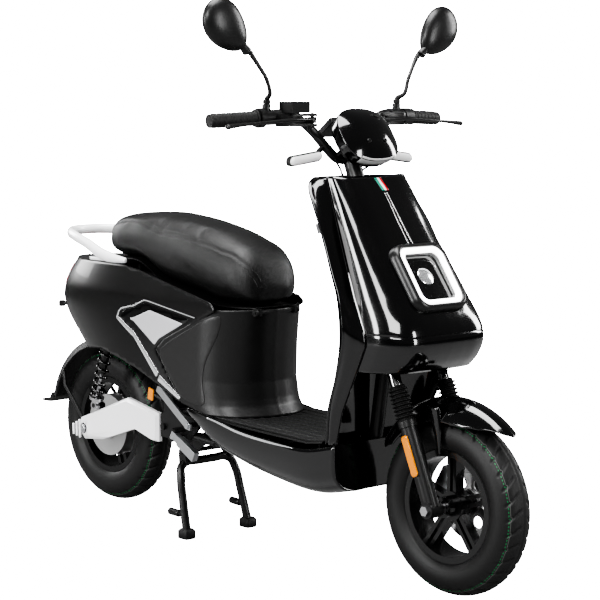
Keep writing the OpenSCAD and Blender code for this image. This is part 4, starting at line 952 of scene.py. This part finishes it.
# ---------------------------------------------------------------- front indicators
# A long oval lamp on a short stalk under each side of the bar: clear lens, silver back, black rim.
clear_lens = finish("clear_lens", rgb(0.85), 0.16, coat=0.8, detail=lambda look, x, y, z, noise: look.update(
    height=(y * 900).math("SINE", y * 900) * (z * 900).math("SINE", z * 900) * 0.12))
for hand, side in (("right", -1), ("left", 1)):
    def oval(grow, x):
        ring = soft_square(0.104 + 2 * grow, 0.025 + 2 * grow, 0.0122 + grow, 0.0, 12)
        return np.stack([np.full(len(ring), x), side * (0.15 + ring[:, 0] * 0.985),
                         0.99 + ring[:, 1] - ring[:, 0] * 0.12], -1)
    loft("indicator_case_" + hand, [oval(-0.004, 0.3105), oval(-0.0005, 0.3125), oval(0.0004, 0.322),
                                    oval(0.0, 0.3255),
                                    oval(-0.0022, 0.3262), oval(-0.0024, 0.324)], grained, "steering",
                                    "black_plastic",
         ("front_indicators",), closed=True, caps=True, angle=50)
    loft("indicator_lens_" + hand, [oval(-0.0023, 0.3235), oval(-0.0024, 0.3272), oval(-0.0036, 0.3315),
                                    oval(-0.0062, 0.3338),
                                    oval(-0.0121, 0.3341)], clear_lens, "steering", "white_lens", closed=True,
                                    caps=True, angle=60)
    sweep("indicator_stalk_" + hand, [(0.298, side * 0.062, 1.018), (0.306, side * 0.088, 1.008),
                                      (0.3175, side * 0.108, 0.996)],
          0.0065, grained, "steering", "black_plastic", count=16, side=(1, 0, 0))

# ---------------------------------------------------------------- brake hoses
# Rubber hoses from each master cylinder down behind the visor and into the leg shield.
hose = finish("hose_rubber", rgb(0.009), 0.45, grain=0.06, size=1500)
for hand, side in (("right", -1), ("left", 1)):
    route = [(0.3, 0.118, 1.0636), (0.3, 0.118, 1.056), (0.318, 0.096, 1.028), (0.334, 0.07, 0.99),
             (0.328, 0.042, 0.964),
             (0.317, 0.026, 0.952), (0.325, 0.0232, 0.932)]
    sweep("brake_hose_" + hand, [(x, side * y, z) for x, y, z in route], 0.0026, hose, "steering", "hose",
          ("brake_hoses",), 80, 12, 1.0, (1, 0, 0))

# ---------------------------------------------------------------- mirrors
# Oval glass in a gloss-black shell, on a bent steel stem that screws into the perch.
glass = finish("mirror_glass", rgb(0.9), 0.02, metal=1.0, drift=0.005)
shell_finish = finish("mirror_shell", rgb(0.009), 0.36, grain=0.03, size=1500)
for hand, side in (("right", -1), ("left", 1)):
    stem = [(0.2596, 0.213, 1.117), (0.262, 0.2135, 1.128), (0.277, 0.219, 1.137), (0.28, 0.232, 1.174),
            (0.2755, 0.252, 1.204),
            (0.272, 0.268, 1.226), (0.272, 0.2745, 1.2345)]
    sweep("mirror_stem_" + hand, [(x, side * y, z) for x, y, z in stem],
          [0.0075, 0.0055, 0.005, 0.005, 0.005, 0.0055, 0.0065],
          powder, "steering", "cast_black", ("mirror_stems",), 90, 16, 1.0, (1, 0, 0))
    nut = np.stack([0.2596 + 0.0095 * np.cos(np.arange(6) * np.pi / 3),
                    side * (0.213 + 0.0095 * np.sin(np.arange(6) * np.pi / 3))], -1)
    loft("mirror_nut_" + hand, [np.concatenate([nut, np.full((6, 1), z)], 1) for z in (1.1165, 1.1255)], cast,
         "steering",
         "cast_black", closed=True, caps=True, bevel=0.0008, angle=30)

    def mirror_ring(share, x):
        """An oval 140 by 104 mm at share 1, leaned outward, at x."""
        u, v = 0.07 * share * circle[:, 0], 0.051 * share * circle[:, 1] * (1 + 0.2 * circle[:, 0])
        return np.stack([np.full(48, x), side * (0.346 + u * 0.74 - v * 0.67), 1.292 + u * 0.67 + v * 0.74],
                        -1)

    bowl = [mirror_ring(0.93, 0.2635), mirror_ring(0.955, 0.262), mirror_ring(0.985, 0.264),
            mirror_ring(1.0, 0.2695)]
    bowl += [mirror_ring(np.cos(t), 0.272 + 0.0255 * np.sin(t)) for t in np.linspace(0.08, np.pi / 2, 16)]
    loft("mirror_shell_" + hand, bowl, shell_finish, hand + "_mirror", "gloss_black",
         ("mirror_head_" + hand,), closed=True)
    loft("mirror_glass_" + hand, [mirror_ring(0.935, 0.2638), mirror_ring(0.5, 0.2636),
                                  mirror_ring(0, 0.2636)], glass,
         hand + "_mirror", "chrome", closed=True)
    sweep("mirror_neck_" + hand, [(0.272, side * 0.284, 1.236), (0.2735, side * 0.298, 1.249),
                                  (0.2765, side * 0.322, 1.2705)],
          [0.0118, 0.0085, 0.0098], cast, hand + "_mirror", "cast_black", count=24, side=(1, 0, 0))

# ---------------------------------------------------------------- fork
# Chromed stanchions in a bridge, black sliders with an amber reflector each, and rubber bellows between them.
def fork_look(look, x, y, z, noise):
    tube = z.over(0.44, 0.001) * (1 - z.over(0.588, 0.001))
    look["color"] = tube.blend(rgb(0.012), rgb(0.7))
    look["metal"] = tube
    look["rough"] = 0.36 - tube * 0.26


dress(finish("fork_upper", rgb(0.5), 0.2, detail=fork_look), "fork_upper")
rounded_copy("fork_sliders", powder, "fork_lower", "cast_black", 0.001)
dress(steel, "front_axle")
for hand, side in (("right", -1), ("left", 1)):
    def leg_at(z, out=0.0, forward=0.0):
        return np.array([XF - (z - 0.208) * np.tan(RAKE) + forward, side * (0.079 + out), z])

    leg = np.array([-np.sin(RAKE), 0, np.cos(RAKE)])
    front_of = np.array([np.cos(RAKE), 0, np.sin(RAKE)])
    bar_ring = soft_square(0.096, 0.019, 0.006, 0.0, 10)
    slabs = [leg_at(0.326) + ring_out * np.array([0, side, 0]) + (bar_ring[:,
        :1] * shrink) * leg + (bar_ring[:, 1:2] * shrink) * front_of
             for ring_out, shrink in ((0.0205, 0.98), (0.0232, 1.0), (0.0245, 0.97), (0.0247, 0.9))]
    loft("fork_reflector_" + hand, slabs, amber, "fork_lower", "lens", closed=True, caps=True, angle=60)
    path = np.linspace(0, 1, 181)
    fold = 0.0205 + 0.0032 * np.cos(path * 2 * np.pi * 9)
    fold[:6], fold[-6:] = np.linspace(0.0225, 0.021, 6), np.linspace(0.019, 0.0172, 6)
    bellows = [leg_at(0.4) + leg * (0.001 + 0.082 * t) + r * (circle[:, :1] * front_of + circle[:,
        1:] * np.array([0, 1, 0]))
               for t, r in zip(path, fold)]
    bellows = ([bellows[0] * 0.32 + (leg_at(0.4) + leg * 0.001) * 0.68] + bellows
               + [bellows[-1] * 0.15 + (leg_at(0.4) + leg * 0.083) * 0.85])
    boot = loft("fork_bellows_" + hand, bellows, rubber, "", "mat_rubber", ("fork_bellows",), closed=True)
    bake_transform(boot)

# ---------------------------------------------------------------- front fender
# A gloss-black moulding over the tyre, drawn to a point in front, with a tongue down beside each slider.
fender_turn = np.radians(np.concatenate([[45.9, 46.3, 47.2, 49, 52], np.linspace(56, 148, 60)]))
reach = 0.251 * np.cos(fender_turn)
half_width = np.interp(reach, [-1, 0.04, 0.08, 0.12, 0.15, 0.168, 0.1745],
                       [0.056, 0.056, 0.0535, 0.0455, 0.031, 0.0165, 0.001])
half_width = np.where(fender_turn > np.radians(140),
                      half_width - 0.02 * (fender_turn - np.radians(140)) / np.radians(8) * 0.5, half_width)
share = np.linspace(-1, 1, 45)
fender_rings = []
for angle, half in zip(fender_turn, half_width):
    y = share * half
    out = 0.2505 - 0.05 * (np.abs(y) / 0.056) ** 2.5 - 0.0035 * np.abs(y) / 0.056
    fender_rings.append(np.stack([FRONT_AXLE[0] + out * np.cos(angle), y,
                                  FRONT_AXLE[2] + out * np.sin(angle)], -1))
loft("front_fender_skin", fender_rings, gloss, "fork_lower", "gloss_black", ("front_fender",), thick=0.0025)
for hand, side in (("right", -1), ("left", 1)):
    tongue = curve([(0.650, 0.438), (0.657, 0.41), (0.664, 0.375), (0.671, 0.331)], 24)
    width = np.interp(np.linspace(0, 1, 24), [0, 0.5, 1], [0.02, 0.013, 0.004])
    rings = [[[x - w, side * 0.0545, z], [x - w * 0.5, side * 0.058, z], [x + w * 0.5, side * 0.0585, z],
              [x + w, side * 0.0555, z]]
             for (x, z), w in zip(tongue, width)]
    loft("front_fender_tongue_" + hand, rings, gloss, "fork_lower", "gloss_black", thick=0.0025)
rounded_copy("front_caliper", alloy, "fork_lower", "steel", 0.0025)


# ---------------------------------------------------------------- wheels
# Tubeless tyres with slanted tread blocks on cast rims; a drilled brake disc in front, a hub motor behind.
def tyre_look(look, x, y, z, noise, middle):
    away = ((x - middle[0]) * (x - middle[0]) + (z - middle[2]) * (z - middle[2])).math("SQRT", (
        (x - middle[0]) * (x - middle[0]) + (z - middle[2]) * (z - middle[2])))
    dots = ((z - middle[2]).math("ARCTAN2", z - middle[2], x - middle[0]) * 150).math(
        "SINE", (z - middle[2]).math("ARCTAN2", z - middle[2], x - middle[0]) * 150).over(-0.3, 0.4)
    pale = away.band(0.1942, 0.1953, 0.0003) * 0.5
    green = away.band(0.1908, 0.1928, 0.0003) * dots
    look["color"] = green.blend(pale.blend(rgb(0.0075), rgb(0.2, 0.22, 0.2)), rgb(0.01, 0.16, 0.05))
    look["rough"] = look["rough"] + away.over(0.2, 0.004) * 0.1
    look["height"] = look["height"] + away.band(0.138, 0.1385, 0.0004) * 0.4 + away.band(0.15, 0.1505,
        0.0004) * 0.3


def tyre(name, middle, node, body):
    """The tyre's section is a circle of 46 mm clipped by the rim; round the wheel, slanted grooves 3 mm deep
    are pressed into the tread with a smooth edge."""
    middle = np.array(middle)
    spin = np.linspace(0, 2 * np.pi, 900, endpoint=False)[:, None]
    turn = np.linspace(-np.pi, np.pi, 72, endpoint=False)[None, :]
    lean = np.abs(turn)
    phase = (spin * 34 / (2 * np.pi) + np.sign(turn) * 0.25 + 0.9 * lean) % 1
    groove = np.clip((0.13 - np.abs(phase - 0.5)) / 0.06, 0, 1) * np.clip((1.02 - lean) / 0.12, 0,
        1) * np.clip((lean - 0.16) / 0.08, 0, 1)
    middle_groove = np.clip((0.05 - lean) / 0.03, 0, 1)
    deep = 0.046 - 0.003 * np.maximum(groove, 0.8 * middle_groove)
    out = 0.162 + deep * np.cos(turn)
    y = deep * np.sin(turn) + 0 * spin
    flange = np.where(np.abs(y) > 0.0303, 0.1312, 0.1243)
    out = np.maximum(out, flange)
    rings = np.stack([middle[0] + out * np.cos(spin), y, middle[2] + out * np.sin(spin)], -1)
    rings = np.concatenate([rings, rings[:1]])
    return loft(name, rings, finish(node + "_rubber", rgb(0.0075), 0.5, grain=0.12, size=1300, drift=0.06,
                                    detail=lambda look, x, y, z, noise: tyre_look(look, x, y, z, noise,
                                        middle)),
                body, "tyre", (node,), closed=True)


tyre("front_tyre_skin", FRONT_AXLE, "front_tyre", "front_wheel")
tyre("rear_tyre_skin", REAR_AXLE, "rear_tyre", "rear_wheel")
rim_paint = finish("rim_paint", rgb(0.006), 0.22, coat=0.5, grain=0.02)
rounded_copy("front_rim", rim_paint, "front_wheel", "rim_black", 0.002)


def hub_look(look, x, y, z, noise):
    """The hub's machined cover is silver inside 86 mm, and the rim round it is black."""
    away = (x - REAR_AXLE[0]) * (x - REAR_AXLE[0]) + (z - REAR_AXLE[2]) * (z - REAR_AXLE[2])
    cover = 1 - away.math("SQRT", away).over(0.086, 0.0006)
    look["color"] = cover.blend(rgb(0.006), rgb(0.55))
    look["metal"] = cover * 0.8
    look["rough"] = 0.24 + cover * 0.1


rounded_copy("rear_hub", finish("hub_paint", rgb(0.006), 0.24, detail=hub_look), "rear_wheel", "rim_black",
             0.002)


def disc_look(look, x, y, z, noise):
    away = (x - FRONT_AXLE[0]) * (x - FRONT_AXLE[0]) + (z - FRONT_AXLE[2]) * (z - FRONT_AXLE[2])
    ring = away.math("SQRT", away)
    look["height"] = (ring * 9000).math("SINE", ring * 9000) * 0.02
    look["rough"] = 0.34 - ring.over(0.066, 0.001) * 0.12


rounded_copy("front_disc", finish("brake_disc", rgb(0.4), 0.25, metal=1.0, detail=disc_look), "front_wheel",
             "steel", 0.0006)

# ---------------------------------------------------------------- swingarm, motor and rear fender
# A welded swingarm behind silver-white cast covers, the motor's fixed stator, and a plastic fender on stays.
rounded_copy("swingarm", powder, "rear_arm", "frame_paint", 0.002)
rounded_copy("motor_stator", alloy, "rear_arm", "steel", 0.001)
rounded_copy("rear_fender", grained, "rear_arm", "black_plastic", 0.001)
rounded_copy("swingarm_covers", pearl, "rear_arm", "silver_paint", 0.0035)
for hand, side in (("right", -1), ("left", 1)):
    for k in range(3):
        rib = [(-0.6115 + 0.014 * k, 0.2195 - 0.003 * k), (-0.6135 + 0.014 * k, 0.2475 + 0.007 * k)]
        sweep(f"swingarm_rib_{hand}_{k}", [(x, side * 0.1395, z) for x, z in rib], 0.0032, pearl, "rear_arm",
              "silver_paint",
              count=8, around=12, side=(0, 1, 0))

# ---------------------------------------------------------------- shock absorbers
# A damper with a sliding rod on each side, and a coil spring in black paint between its two seats.
TOP = np.array([-0.487, 0, 0.476])
EYE = np.array([-0.545, 0, 0.303])
LENGTH = np.linalg.norm(EYE - TOP)
down = (EYE - TOP) / LENGTH
ahead = np.array([-down[2], 0, down[0]])
turns = np.linspace(0, 7, 7 * 26 + 1)
for hand, side in (("right", -1), ("left", 1)):
    rounded_copy("shock_body_" + hand, cast, hand + "_shock", "cast_black", 0.001)
    rounded_copy("shock_rod_" + hand, steel, hand + "_rod", "steel", 0.001)
    base = TOP + [0, side * 0.116, 0]
    pitch = np.interp(turns, [0, 0.7, 6.3, 7], [0, 0.006, LENGTH - 0.0504 - 0.006, LENGTH - 0.0504])
    radial = np.cos(turns * 2 * np.pi)[:, None] * ahead + np.sin(turns * 2 * np.pi)[:,
        None] * np.array([0, 1, 0])
    centre = base + (0.0212 + pitch)[:, None] * down + 0.0155 * radial
    wire = np.linspace(0, 2 * np.pi, 12, endpoint=False)
    rings = centre[:, None] + 0.003 * (np.cos(wire)[None, :, None] * radial[:, None] + np.sin(wire)[None, :,
        None] * down)
    spring = loft("shock_coil_" + hand, rings, gloss, "", "cast_black", ("shock_spring_" + hand,),
                  closed=True, caps=True)
    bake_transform(spring)

# ---------------------------------------------------------------- centre stand and pegs
# A bent tube stand with forged feet and a foot tang each side, and folding alloy pegs.
def stand_path(rows, radius, name, **rest):
    return sweep(name, rows, radius, powder, "stand", "frame_paint", **rest)


legs = [(-0.173, 0.1035, 0.016), (-0.196, 0.098, 0.1), (-0.2105, 0.0925, 0.154), (-0.219, 0.083, 0.179),
        (-0.2215, 0.064, 0.188)]
legs += [(-0.222, 0.03, 0.188)] + [(-0.222, 0, 0.188), (-0.222, -0.03, 0.188)] + [(x, -y, z) for x, y,
    z in legs[::-1]]
stand_path(legs, 0.011, "stand_tube", stands_for=("center_stand",), count=150, side=(1, 0, 0))
for hand, side in (("right", -1), ("left", 1)):
    ear = soften([(-0.240, 0.222), (-0.216, 0.222), (-0.204, 0.186), (-0.236, 0.174)], 0.009)
    n = len(ear)
    piece("stand_ear_" + hand, [[x, side * y, z] for y in (0.0701, 0.0779) for x, z in ear],
          [np.arange(n)[::-1], np.arange(n) + n] + [[i, (i + 1) % n, (i + 1) % n + n,
                                                     i + n] for i in range(n)], powder,
          "stand", "frame_paint", bevel=0.0012, angle=40)
    foot = [np.stack([-0.173 + ring[:, 0], side * 0.104 + ring[:, 1], np.full(len(ring), z)], -1) for ring,
            z in (
        (soft_square(0.034, 0.03, 0.005, 0, 8), 0.0), (soft_square(0.038, 0.034, 0.006, 0, 8), 0.002),
        (soft_square(0.038, 0.034, 0.006, 0, 8), 0.021), (soft_square(0.03, 0.028, 0.008, 0, 8), 0.0258))]
    loft("stand_foot_" + hand, foot, grip, "stand", "mat_rubber", closed=True, caps=True, angle=50)
    stand_path([(-0.186, side * 0.102, 0.06), (-0.236, side * 0.104, 0.062)], 0.006, "stand_tang_" + hand,
               count=6, side=(0, 0, 1))
    stand_path([(-0.205, side * 0.103, 0.0602), (-0.240, side * 0.104, 0.0615)], 0.0095,
               "stand_tang_grip_" + hand, count=6,
               side=(0, 0, 1))
    stand_path([(-0.187, side * 0.1, 0.06), (-0.2045, side * 0.0875, 0.165)], 0.004, "stand_brace_" + hand,
               count=8, side=(0, 1, 0))
    rounded_copy("peg_" + hand, alloy, hand + "_peg", "alu", 0.0025)
